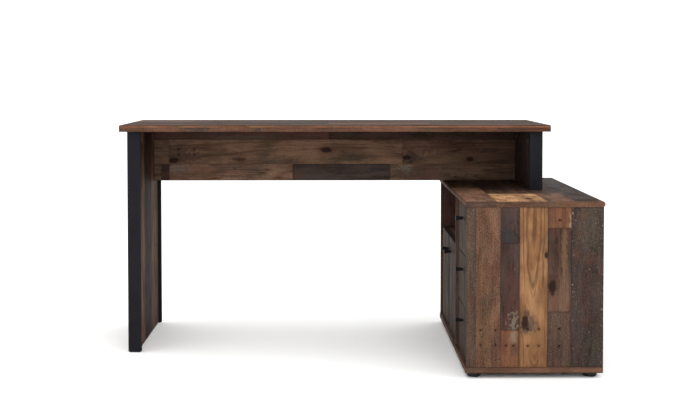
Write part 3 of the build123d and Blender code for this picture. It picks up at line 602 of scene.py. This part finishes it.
nearEndRows = [
    whole(29, "plum", speckle=1.0, seam=0.5),
    whole(76, "rust", nails=(70, 116, 46), speckle=1.0, seam=0.5),
    (59, [plank(116, "orange", 0.9, nails=(68, 119, 22), chips=0.3,
                patches=[(96, 40, 20, 14, "#9a8f7c", 0.45, 0.4)]),
          plank(269, "plumRed", chips=0.3, fadeTo="charcoal",
                patches=[(20, 42, 32, 15, "#969078", 0.5, 1.1), (130, 30, 60, 22, "#5d3a38", 0.6, 0.5)]),
          plank(None, "charcoal", seam=0.6,
                patches=[(20, 20, 50, 26, "#3b3c3e", 0.6, 0.8), (90, 40, 60, 20, "#5a4644", 0.5, 0.6)])]),
    whole(87, "pine", knots=[(142, 17, 12), (348, 82, 6)], nails=(67, 119, 34), heart=(470, 43),
          patches=[(138, 28, 34, 24, "#4e474a", 0.66, 0.8), (430, 45, 62, 8, "#6b4a34", 0.7, 0.2)]),
    (73, [plank(172, "plum", 0.92, nails=(66, 120, 2),
                patches=[(130, 20, 70, 14, "#6d5a4a", 0.5, 0.4)]),
          plank(259, "umber", 1.36, knots=[(78, 14, 12)], fadeTo="dusk",
                patches=[(190, 50, 100, 9, "#86664a", 0.55, 0.6), (86, 16, 34, 18, "#3a3436", 0.6, 0.6)]),
          plank(None, "orange", nails=(25, -500, 2), chips=0.3,
                patches=[(14, 69, 22, 4, "#b9a588", 0.6, 1.0)])]),
    whole(100, "slate", 0.86, chips=0.6, speckle=0.7,
          patches=[(440, 58, 80, 40, "#625c4d", 0.36, 0.9), (210, 48, 100, 30, "#563a36", 0.4, 0.7)]),
]
# the modesty panel's print, its planks lightened well above their kinds (gains up to 2.5): painted fill
# light on a panel that lies in the desktop's shade
modestyRowsWithPaintedFill = [
    (61, [plank(28, "umber", 1.35), plank(28, "charcoal", 0.85, seam=0.4),
          plank(456, "umber", 2.5, chips=0.3, speckle=0.5,
                patches=[(26, 44, 40, 16, "#a79f93", 0.5, 1.2), (90, 30, 150, 34, "#6c4a3c", 0.5, 0.3)]),
          plank(359, "slate", 1.15, chips=0.3),
          plank(None, "umber", 1.45, chips=0.3, seam=0.5,
                patches=[(58, 38, 26, 16, "#8f8a80", 0.55, 1.3), (120, 20, 120, 26, "#54393a", 0.5, 0.6)])]),
    (90, [plank(55, "umber", 1.5, seam=0.5),
          plank(862, "brown", 2.25, knots=[(18, 14, 10), (582, 52, 10)], nails=(36, 94, 18),
                heart=(582, 50), figure=0.5, cracks=0.5, seam=0.5,
                patches=[(40, 34, 60, 34, "#5c4440", 0.75, 0.7), (256, 18, 34, 7, "#3a2822", 0.8, 0.3)]),
          plank(None, "brown", 1.6, knots=[(14, 24, 8), (249, 17, 8)], heart=(330, 50), figure=0.5,
                cracks=0.6, seam=0.4,
                patches=[(26, 26, 48, 24, "#41383a", 0.75, 0.9), (190, 60, 150, 26, "#573a34", 0.5, 0.6)])]),
    (47, [plank(645, "plumRed", 1.2, patches=[(330, 4, 120, 14, "#6b6350", 0.5, 0.5)]),
          plank(None, "dusk", 1.5)]),
]
# the desktop's front edge: the print in one long row, and above it a painted highlight along the nose's
# upper rounding
desktopEdgeWithPaintedHighlight = [
    (15, [plank(480, "bare", 0.88, seam=0.0,
                patches=[(262, 8, 46, 9, "#4c403b", 0.85, 0.8), (466, 7, 14, 8, "#4a3a34", 0.8, 0.6)]),
          plank(730, "bare", 0.88, seam=0.0),
          plank(None, "orange", 0.85, chips=0.0, seam=0.0,
                patches=[(96, 6, 60, 9, "#4c3c34", 0.8, 0.7)])]),
    # painted highlight: a lighter orange strip, without seams, where the nose rounds over
    whole(7, "orange", 1.35, chips=0.0, seam=0.0),
]
desktopRows = [
    (92, [plank(420, "orange", 0.72), plank(610, "rust", 0.78),
          plank(None, "orange", 0.68, nails=(30, 70, 40))]),
    (84, [plank(260, "umber", 0.85), plank(520, "dusk", 0.95),
          plank(None, "brown", 0.8, knots=[(210, 30, 9)])]),
    (104, [plank(700, "brown", 0.88, knots=[(310, 66, 12)]), plank(360, "pine", 0.85),
           plank(None, "plum", 0.8)]),
    (66, [plank(330, "slate", 0.85), plank(None, "umber", 0.8, knots=[(420, 20, 7)])]),
    (98, [plank(560, "rust", 0.85, nails=(24, 66, 44)), plank(480, "plumRed", 0.9),
          plank(None, "slate", 0.8)]),
    (88, [plank(210, "gold", 0.85), plank(640, "umber", 0.85), plank(None, "rust", 0.8)]),
    (118, [plank(800, "charcoal", 0.9), plank(None, "brown", 0.8, knots=[(160, 52, 12)])]),
]
cabinetTopRows = [
    (98, [plank(560, "rust", 1.5), plank(None, "brown")]),
    (80, [plank(306, "gold", 1.8, seam=0.6), plank(148, "umber"), plank(389, "dusk"),
          plank(None, "brown")]),
    (78, [plank(306, "gold", 1.6, seam=0.6, knots=[(120, 30, 8), (180, 60, 7)]),
          plank(250, "umber"), plank(None, "plum")]),
    (84, [plank(330, "rust", 1.2, chips=0.2), plank(None, "plum", 0.8)]),
    (92, [plank(410, "slate", chips=0.1), plank(None, "slate", 0.85)]),
]
cabinetTopEdge = [(18, [plank(98, "plum", 0.95, speckle=0.5, seam=0.0),
                        plank(158, "rust", 0.75, seam=0.0),
                        plank(84, "rust", 0.8, speckle=0.5, seam=0.0),
                        plank(None, "bare", 0.9, seam=0.0)])]
legRows = [
    whole(180, "orange", 0.86, chips=0.0),
    whole(102, "charcoal", 0.25),
    (98, [plank(480, "dusk", 0.5), plank(None, "plumRed", 0.5)]),
    whole(92, "rust", 0.9),
    (124, [plank(300, "brown", 1.0), plank(None, "umber", 1.0, knots=[(150, 60, 9)])]),
]
legOuterRows = [
    (124, [plank(300, "brown", 0.95), plank(None, "umber", 0.95, knots=[(150, 60, 9)])]),
    whole(92, "rust", 0.85),
    (98, [plank(480, "dusk", 0.9), plank(None, "plumRed", 0.85)]),
    (102, [plank(260, "slate", 0.9), plank(None, "charcoal", 0.9)]),
    (180, [plank(410, "orange", 0.8, chips=0.0), plank(None, "rust", 0.85, nails=(24, -500, 90))]),
]
frontRows = [
    (64, [plank(300, "charcoal", 0.8), plank(None, "umber", 0.75)]),
    whole(88, "slate", 0.7),
    (72, [plank(210, "umber", 0.82, knots=[(120, 30, 8)]), plank(None, "brown", 0.82)]),
    whole(92, "plum", 0.66),
    whole(56, "dusk", 0.85),
]
doorRows = [
    whole(82, "charcoal", 0.78),
    whole(94, "plum", 0.74),
    whole(66, "slate", 0.78),
    whole(88, "umber", 0.88, knots=[(200, 40, 9)]),
    whole(70, "dusk", 0.9),
    whole(90, "brown", 0.88),
    whole(94, "charcoal", 0.88),
    whole(80, "rust", 0.76),
]
shortLegRows = [
    whole(90, "plumRed", 1.8),
    whole(120, "charcoal", 1.3),
    whole(110, "dusk", 1.5),
    whole(130, "charcoal", 1.2),
    whole(100, "plumRed", 1.3),
]
farInnerRows = [
    (96, [plank(300, "umber", 1.3), plank(None, "plumRed", 1.2)]),
    whole(88, "dusk", 1.3),
    (104, [plank(260, "charcoal", 1.2), plank(None, "brown", 1.1)]),
    whole(92, "plum", 1.05),
]


def topLeft(node):
    # the low corner of a node in mm
    low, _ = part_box(node)
    return [v / millimetre for v in low]


drawerStart = topLeft("lower_drawer_front")
doorStart = topLeft("near_door")
cladBoard("desktop", "x", {"-y": desktopEdgeWithPaintedHighlight, "+z": desktopRows}, ease=0.5, nose=7)
cladBoard("modesty_panel", "x", {"-y": modestyRowsWithPaintedFill})
cladBoard("left_side_panel", "z", {"+x": legRows, "-x": legOuterRows})
cladBoard("right_side_panel", "z", {"-x": shortLegRows})
cladBoard("cabinet_top", "y", {"+z": cabinetTopRows, "-y": cabinetTopEdge}, ease=0.4, nose=9)
cladBoard("cabinet_bottom", "y", {})
cladBoard("near_end_panel", "z", {"-y": nearEndRows}, edgeKind="plum")
cladBoard("far_end_panel", "z", {"+y": nearEndRows[::-1], "-y": farInnerRows}, edgeKind="plum")
cladBoard("divider", "z", {}, edgeKind="plum")
cladBoard("cabinet_back", "z", {})
cladBoard("compartment_shelf", "y", {}, edgeKind="plumRed")
for drawer in ("lower", "middle", "upper"):
    cladBoard(drawer + "_drawer_front", "z", {"-x": frontRows}, edgeKind="dusk",
        starts={"-x": (drawerStart[2], drawerStart[1])})
for door in ("near", "far"):
    cladBoard(door + "_door", "z", {"-x": doorRows}, edgeKind="dusk",
        starts={"-x": (doorStart[2], doorStart[1])})
print("printed boards clad:", boardNumber)


def softenedCopy(node, finish, ease, shortest=6.0):
    mesh, shape = mergedCopy(node)
    easeEdges(shape, ease, shortest)
    shape.normal_update()
    shape.to_mesh(mesh)
    shape.free()
    placePiece(mesh, node, "_shaped", finish)


for side, end in itertools.product(("left", "right"), ("front", "rear")):
    softenedCopy(f"{side}_{end}_strip", "anthraciteLaminate", 0.3, shortest=14.0)
softenedCopy("leg_glides", "blackMouldedPlastic", 0.5)
softenedCopy("drawer_guides", "whiteGuidePlastic", 0.4)
for node in ("hinge_arms", "near_door_hinge_cups", "far_door_hinge_cups"):
    softenedCopy(node, "zincPlatedSteel", 0.3, shortest=4.0)
for drawer in ("lower", "middle", "upper"):
    for board in ("near_side", "far_side", "back"):
        softenedCopy(f"{drawer}_drawer_{board}", "linenPrintedFoil", 0.5)
    softenedCopy(f"{drawer}_drawer_bottom", "pressedHardboard", 0.2)
print("strips, glides, hinges and drawer boxes shaped")


def plainMesh(shape, name):
    mesh = bpy.data.meshes.new(name)
    shape.to_mesh(mesh)
    shape.free()
    return mesh


def turned(profile, origins, axis, steps, name):
    # turns a profile of (radius, height) in mm, which ends on the axis, about an axis through each origin
    across = axis.orthogonal().normalized()
    other = axis.cross(across)
    angles = [2 * math.pi * i / steps for i in range(steps)]
    spokes = [across * math.cos(a) + other * math.sin(a) for a in angles]
    shape = bmesh.new()
    for origin in origins:
        rings = []
        for radius, height in profile:
            middle = origin + axis * height * millimetre
            rings.append([shape.verts.new(middle + spoke * radius * millimetre)
                for spoke in (spokes if radius else spokes[:1])])
        for lower, upper in zip(rings, rings[1:]):
            for i in range(steps):
                j = (i + 1) % steps
                corners = [lower[i % len(lower)], lower[j % len(lower)],
                    upper[j % len(upper)], upper[i % len(upper)]]
                shape.faces.new(list(dict.fromkeys(corners)))
    bmesh.ops.recalc_face_normals(shape, faces=shape.faces)
    return plainMesh(shape, name)


# a knob from its seat to its face, in mm; the face is dished and its rim is rounded
knob = {"neck": 4.2, "seat": 0.6, "face": 8.0, "length": 24.0, "rim": 0.9, "dish": 1.1, "steps": 48}
neck, face, length, rim = (knob[part] for part in ("neck", "face", "length", "rim"))
bottom = length - knob["dish"]
knobProfile = [(0, 0), (neck, 0), (neck, knob["seat"])]
knobProfile += [(neck + (face - neck) * h / length, h) for h in (1.2, 6, 12, 18, length - rim * 1.6)]
for angle in (math.radians(15 * i) for i in range(1, 7)):
    knobProfile.append((face - rim + rim * math.cos(angle), length - rim + rim * math.sin(angle)))
knobProfile += [(face - rim * 2.2, length - 0.15), (face * 0.55, bottom + knob["dish"] * 0.2),
    (face * 0.25, bottom), (0, bottom)]
fronts = ("lower_drawer", "middle_drawer", "upper_drawer", "near_door", "far_door")
for front in fronts:
    low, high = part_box(front + "_knob")
    seat = Vector((high.x, (low.y + high.y) / 2, (low.z + high.z) / 2))
    mesh = turned(knobProfile, [seat], Vector((-1, 0, 0)), knob["steps"], front + "_knobTurned")
    placePiece(mesh, front + "_knob", "_turned", "blackPowderCoat")


def solidsOf(node):
    # the boxes of the separate solids of a node, in metres
    mesh, shape = mergedCopy(node)
    bpy.data.meshes.remove(mesh)
    shape.verts.index_update()
    seen, boxes = set(), []
    for start in shape.verts:
        if start.index in seen:
            continue
        group, queue = [], [start]
        seen.add(start.index)
        while queue:
            vertex = queue.pop()
            group.append(vertex.co.copy())
            for link in vertex.link_edges:
                near = link.other_vert(vertex)
                if near.index not in seen:
                    seen.add(near.index)
                    queue.append(near)
        boxes.append([Vector([pick(p[i] for p in group) for i in range(3)]) for pick in (min, max)])
    shape.free()
    return sorted(boxes, key=lambda pair: tuple(round(v, 5) for v in pair[0]))


# a foot from the floor up, in mm: a flared cup with a collar under the cabinet and a screw's hole
foot = {"radius": 23.5, "height": 16.0, "waist": 20.6, "sole": 17.5, "collar": 3.2, "hole": 5.2,
    "holeDepth": 5.0, "steps": 56}
radius, waist, sole, hole = (foot[part] for part in ("radius", "waist", "sole", "hole"))
height, neck = foot["height"], foot["height"] - foot["collar"]
footProfile = [(0, foot["holeDepth"]), (hole, foot["holeDepth"]), (hole, 0.6), (hole + 0.6, 0),
    (sole, 0), (sole + 1, 0.35), (sole + 1.7, 1.2), (waist, 2.6), (waist + 1.6, 7.5),
    (radius - 1.2, neck - 0.8), (radius - 0.2, neck), (radius, neck + 0.5), (radius, height - 0.8),
    (radius - 0.8, height), (0, height)]
soles = [Vector(((low.x + high.x) / 2, (low.y + high.y) / 2, low.z))
    for low, high in solidsOf("cabinet_feet")]
mesh = turned(footProfile, soles, Vector((0, 0, 1)), foot["steps"], "cabinetFeetTurned")
placePiece(mesh, "cabinet_feet", "_turned", "blackMouldedPlastic")
print("knobs and feet turned")


def newTree(name, numbers):
    # a node tree with a Geometry socket and named sizes, given in mm, and the short way to add nodes
    tree = bpy.data.node_groups.new(name, "GeometryNodeTree")
    tree.interface.new_socket("Geometry", in_out="INPUT", socket_type="NodeSocketGeometry")
    for label, value in numbers.items():
        socket = tree.interface.new_socket(label, in_out="INPUT", socket_type="NodeSocketFloat")
        socket.default_value = value * millimetre
    tree.interface.new_socket("Finish", in_out="INPUT", socket_type="NodeSocketMaterial")
    tree.interface.new_socket("Geometry", in_out="OUTPUT", socket_type="NodeSocketGeometry")
    return tree, tree.nodes.new("NodeGroupInput").outputs, partial(addNode, tree)


def finishTree(tree, given, add, shape):
    # sets the drawn shape on every site, its top along the site's aim
    aim = add("InputNamedAttribute", {"Name": "aim"}, data_type="FLOAT_VECTOR")
    turn = add("AlignRotationToVector", {"Vector": aim}, axis="Z")
    placed = add("InstanceOnPoints", {"Points": given["Geometry"], "Instance": shape, "Rotation": turn})
    real = add("RealizeInstances", {"Geometry": placed})
    finished = add("SetMaterial", {"Geometry": real, "Material": given["Finish"]})
    add("NodeGroupOutput", {"Geometry": finished})
    return tree


def crossCutters(add, given):
    # two crossed bars that sink a screwdriver's cross into the face at height 0
    depth = add("Math MULTIPLY", [given["Cross Depth"], 2.0])
    sizes = [add("CombineXYZ", {long: given["Cross Length"], wide: given["Cross Width"], "Z": depth})
        for long, wide in (("X", "Y"), ("Y", "X"))]
    return [add("MeshCube", {"Size": size}) for size in sizes]


def raised(add, mesh, length, share):
    # a drawn mesh, moved along its own axis by a share of a length
    offset = add("CombineXYZ", {"Z": add("Math MULTIPLY", [length, share])})
    return add("Transform", {"Geometry": mesh, "Translation": offset})


def capped(add, blank, height, share):
    # raises the top face of a turned blank by a height and draws it in to a share of its radius
    grown = add("ExtrudeMesh", {"Mesh": blank.outputs["Mesh"], "Selection": blank.outputs["Top"],
        "Offset Scale": height, "Individual": False}, out=None)
    return add("ScaleElements", {"Geometry": grown.outputs["Mesh"], "Selection": grown.outputs["Top"],
        "Scale": share})


def makeCamTree():
    # a die-cast cam: a disc with a chamfered rim and a cross for the driver
    tree, given, add = newTree("camLock", {"Radius": 7.4, "Depth": 13.5, "Chamfer": 0.6,
        "Cross Length": 8.5, "Cross Width": 1.6, "Cross Depth": 2.2})
    inner = add("Math SUBTRACT", [given["Radius"], given["Chamfer"]])
    share = add("Math DIVIDE", [inner, given["Radius"]])
    bodyDepth = add("Math SUBTRACT", [given["Depth"], given["Chamfer"]])
    blank = add("MeshCylinder", {"Vertices": 32, "Radius": given["Radius"], "Depth": bodyDepth}, out=None)
    whole = capped(add, blank, given["Chamfer"], share)
    halfDepth = add("Math MULTIPLY_ADD", [bodyDepth, 0.5, given["Chamfer"]])
    whole = raised(add, whole, halfDepth, -1.0)
    cut = add("MeshBoolean DIFFERENCE", {"Mesh 1": whole, "Mesh 2": crossCutters(add, given)},
        solver="EXACT")
    return finishTree(tree, given, add, cut)


def threadOn(add, radius, section, height, pitch, taper):
    # a helical ridge of small square section, whose foot is at height 0
    turns = add("Math DIVIDE", [height, pitch])
    foot = add("Math MULTIPLY", [radius, taper])
    spiral = add("CurveSpiral", {"Resolution": 14, "Rotations": turns, "Start Radius": foot,
        "End Radius": radius, "Height": height})
    ridge = add("Math MULTIPLY", [radius, section])
    square = add("CurvePrimitiveCircle", {"Resolution": 4, "Radius": ridge})
    return add("CurveToMesh", {"Curve": spiral, "Profile Curve": square, "Fill Caps": True})


def makeScrewTree():
    # a chipboard screw: a domed head with a cross, a threaded shank and a point
    tree, given, add = newTree("crossScrew", {"Head Radius": 4.0, "Head Height": 2.5,
        "Shank Radius": 2.0, "Length": 30, "Thread Pitch": 2.2, "Cross Length": 4.2, "Cross Width": 0.9,
        "Cross Depth": 1.3})
    crown = add("Math MULTIPLY", [given["Head Height"], 0.45])
    collar = add("Math MULTIPLY", [given["Head Height"], 0.55])
    seatRadius = add("Math MULTIPLY", [given["Head Radius"], 0.8])
    blank = add("MeshCone", {"Vertices": 24, "Radius Top": given["Head Radius"],
        "Radius Bottom": seatRadius, "Depth": collar}, out=None)
    head = capped(add, blank, crown, 0.72)
    head = raised(add, head, given["Head Height"], -1.0)
    head = add("MeshBoolean DIFFERENCE", {"Mesh 1": head, "Mesh 2": crossCutters(add, given)},
        solver="EXACT")
    shankLength = add("Math SUBTRACT", [given["Length"], given["Head Height"]])
    coreRadius = add("Math MULTIPLY", [given["Shank Radius"], 0.72])
    tipRadius = add("Math MULTIPLY", [given["Shank Radius"], 0.3])
    core = add("MeshCone", {"Vertices": 16, "Radius Top": coreRadius, "Radius Bottom": tipRadius,
        "Depth": shankLength})
    crest = add("Math MULTIPLY", [given["Shank Radius"], 0.8])
    thread = threadOn(add, crest, 0.25, shankLength, given["Thread Pitch"], 0.375)
    shank = add("JoinGeometry", [[core, thread]])
    whole = add("JoinGeometry", [[head, raised(add, shank, given["Length"], -1.0)]])
    return finishTree(tree, given, add, whole)


def makeDowelTree():
    # a fluted beech dowel
    tree, given, add = newTree("flutedDowel", {"Radius": 4.0, "Length": 25, "Flute Depth": 0.3})
    rod = add("MeshCylinder", {"Vertices": 36, "Radius": given["Radius"], "Depth": given["Length"]})
    odd = add("Math MODULO", [add("InputIndex"), 2.0])
    flat = add("VectorMath MULTIPLY", [add("InputPosition"), (1.0, 1.0, 0.0)])
    inward = add("VectorMath SUBTRACT", [(0.0, 0.0, 0.0), add("VectorMath NORMALIZE", [flat])])
    depth = add("Math MULTIPLY", [odd, given["Flute Depth"]])
    offset = add("VectorMath SCALE", {0: inward, "Scale": depth})
    fluted = add("SetPosition", {"Geometry": rod, "Offset": offset})
    return finishTree(tree, given, add, raised(add, fluted, given["Length"], -0.5))


def makeBoltTree():
    # a cam bolt: a round head at the cam's end, a smooth neck, and a thread in the other board
    tree, given, add = newTree("camBolt", {"Radius": 3.0, "Length": 45, "Bite": 11, "Neck": 2.1,
        "Thread Pitch": 1.6})
    ball = add("MeshUVSphere", {"Segments": 16, "Rings": 10, "Radius": given["Radius"]})
    ball = raised(add, ball, given["Radius"], -1.0)
    stemLength = add("Math SUBTRACT", [given["Length"], given["Bite"]])
    stem = add("MeshCylinder", {"Vertices": 16, "Radius": given["Neck"], "Depth": stemLength})
    stem = raised(add, stem, stemLength, -0.5)
    coreRadius = add("Math MULTIPLY", [given["Radius"], 0.78])
    core = add("MeshCylinder", {"Vertices": 16, "Radius": coreRadius, "Depth": given["Bite"]})
    core = raised(add, core, given["Bite"], 0.5)
    crest = add("Math MULTIPLY", [given["Radius"], 0.8])
    wound = add("Math MULTIPLY", [given["Bite"], 0.9])
    thread = threadOn(add, crest, 0.22, wound, given["Thread Pitch"], 1.0)
    screwed = raised(add, add("JoinGeometry", [[core, thread]]), given["Length"], -1.0)
    return finishTree(tree, given, add, add("JoinGeometry", [[ball, stem, screwed]]))


camTree, screwTree, dowelTree, boltTree = makeCamTree(), makeScrewTree(), makeDowelTree(), makeBoltTree()


def aimAt(node, low, high, axis):
    # which way the top of a fastening faces along its axis
    middle = (low + high) / 2
    nodeLow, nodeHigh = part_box(node)
    inward = 1 if middle[axis] < (nodeLow[axis] + nodeHigh[axis]) / 2 else -1
    farBoards = 0.3    # metres; the carcass cams beyond it face the near end
    signs = {
        "desk_cams": inward if axis == 0 else 1,
        "carcass_cams": -1 if axis == 2 or middle.y > farBoards else 1,
        "desk_cam_bolts": -1 if axis == 2 else inward,
        "carcass_cam_bolts": inward,
        "guide_screws": inward,
        "hinge_screws": inward,
        "short_leg_screws": -1,
        "foot_screws": -1,
    }
    return Vector([signs.get(node, 1) if i == axis else 0 for i in range(3)])


def setFastenings(nodes, tree, finish, sizes=None, thickness=None):
    # one plain mesh for each node: the tree's shape on the site of each of its solids, with the solid's
    # own length and the sizes in mm that differ from the tree's own; a solid that may be shorter than
    # it is thick lies along the axis that differs most from its thickness
    for node in nodes:
        groups = {}
        for low, high in solidsOf(node):
            extent = high - low
            apart = thickness * millimetre if thickness else 0.0
            axis = max(range(3), key=lambda i: abs(extent[i] - apart))
            aim = aimAt(node, low, high, axis)
            top = (low + high) / 2 + aim * extent[axis] / 2
            groups.setdefault(round(extent[axis], 5), []).append((top, aim))
        joined = bmesh.new()
        for length, sites in groups.items():
            mesh = bpy.data.meshes.new(node + "Sites")
            mesh.from_pydata([top for top, _ in sites], [], [])
            aims = mesh.attributes.new("aim", "FLOAT_VECTOR", "POINT")
            for index, (_, aim) in enumerate(sites):
                aims.data[index].vector = aim
            holder = bpy.data.objects.new(node + "Sites", mesh)
            bpy.context.scene.collection.objects.link(holder)
            modifier = holder.modifiers.new("fastenings", "NODES")
            modifier.node_group = tree
            values = {key: value * millimetre for key, value in (sizes or {}).items()}
            values["Depth" if tree == camTree else "Length"] = length
            values["Finish"] = made[finish]
            for item in tree.interface.items_tree:
                if item.item_type == "SOCKET" and item.in_out == "INPUT" and item.name in values:
                    modifier[item.identifier] = values[item.name]
            evaluated = holder.evaluated_get(bpy.context.evaluated_depsgraph_get())
            joined.from_mesh(bpy.data.meshes.new_from_object(evaluated))
            holder.modifiers.clear()
            bpy.data.objects.remove(holder)
        joined.normal_update()
        placePiece(plainMesh(joined, node + "Mesh"), node, "_set", finish)


zinc = "zincPlatedSteel"
setFastenings(["desk_cams"], camTree, "brownLacqueredZinc", thickness=14.8)
setFastenings(["carcass_cams"], camTree, "dieCastZinc", thickness=14.8)
setFastenings(["desk_cam_bolts", "carcass_cam_bolts"], boltTree, zinc)
setFastenings(["desktop_dowels", "strip_dowels", "carcass_dowels"], dowelTree, "turnedBeech")
setFastenings(["short_leg_screws", "foot_screws"], screwTree, zinc)
setFastenings(["guide_screws"], screwTree, zinc,
    {"Head Radius": 3.6, "Head Height": 2.0, "Shank Radius": 1.6})
setFastenings(["hinge_screws"], screwTree, zinc, {"Head Height": 2.0}, thickness=8.0)
setFastenings([front + "_knob_screw" for front in fronts], screwTree, zinc,
    {"Head Height": 1.2, "Cross Depth": 0.7})
print("fastenings set")


studio = {
    "cameraPlace": (-69.2, -5168.2, 932.3),   # mm, in the desk's frame
    "cameraPitch": 2.6,                        # degrees below level
    "cameraYaw": 0.80,                         # degrees to the right
    "lens": 77.69,
    "shift": (-0.002, -0.093),
    "floorSide": 40000,                        # mm
    "floorDrop": 0.5,                          # mm that the floor lies under the feet
    "worldStrength": 1.45,
}
camera = bpy.data.objects.new("camera", bpy.data.cameras.new("camera"))
camera.data.lens = studio["lens"]
camera.data.sensor_width = 36
camera.data.shift_x, camera.data.shift_y = studio["shift"]
camera.data.clip_end = 100    # metres
camera.location = Vector(studio["cameraPlace"]) * millimetre
camera.rotation_euler = (math.radians(90 - studio["cameraPitch"]), 0, -math.radians(studio["cameraYaw"]))
bpy.context.scene.collection.objects.link(camera)
bpy.context.scene.camera = camera

world = bpy.data.worlds.new("studioWorld")
world.use_nodes = True
bpy.context.scene.world = world
background = world.node_tree.nodes["Background"].inputs
background["Color"].default_value = (1.0, 1.0, 1.0, 1.0)
background["Strength"].default_value = studio["worldStrength"]
bpy.context.scene.view_settings.view_transform = "Standard"

softBoxes = {
    # place, aimed at, side and power in watts; all in metres
    "frontSoftBox": ((0.6, -5.7, 1.7), (0.0, 0.0, 0.4), 3.0, 150),
    "sideSoftBox": ((3.2, -2.6, 2.6), (0.3, 0.0, 0.4), 2.0, 14),
}
for name, (place, target, side, power) in softBoxes.items():
    light = bpy.data.lights.new(name, "AREA")
    light.shape = "SQUARE"
    light.size = side
    light.energy = power
    lamp = bpy.data.objects.new(name, light)
    lamp.location = place
    lamp.rotation_euler = (Vector(target) - Vector(place)).to_track_quat("-Z", "Y").to_euler()
    bpy.context.scene.collection.objects.link(lamp)

floorMesh = bpy.data.meshes.new("floor")
reach, drop = studio["floorSide"] * millimetre / 2, studio["floorDrop"] * millimetre
corners = [(x * reach, y * reach, -drop) for x, y in ((-1, -1), (1, -1), (1, 1), (-1, 1))]
floorMesh.from_pydata(corners, [], [(0, 1, 2, 3)])
floor = bpy.data.objects.new("floor", floorMesh)
bpy.context.scene.collection.objects.link(floor)
floorMaterial, add = newMaterial("paleStudioPaper")    # matt paper sweep, near white
mottle = add("TexNoise", {"Vector": add("TexCoord", out=3), "Scale": 3.0})
paper = add("Mix", {0: mottle, 6: toneFromHex("#f9f9f8"), 7: toneFromHex("#fefefe")}, 2, data_type="RGBA")
finishMaterial(add, paper, add("MapRange", [mottle, 0.0, 1.0, 0.85, 0.95]))
floorMesh.materials.append(floorMaterial)
print("studio set")
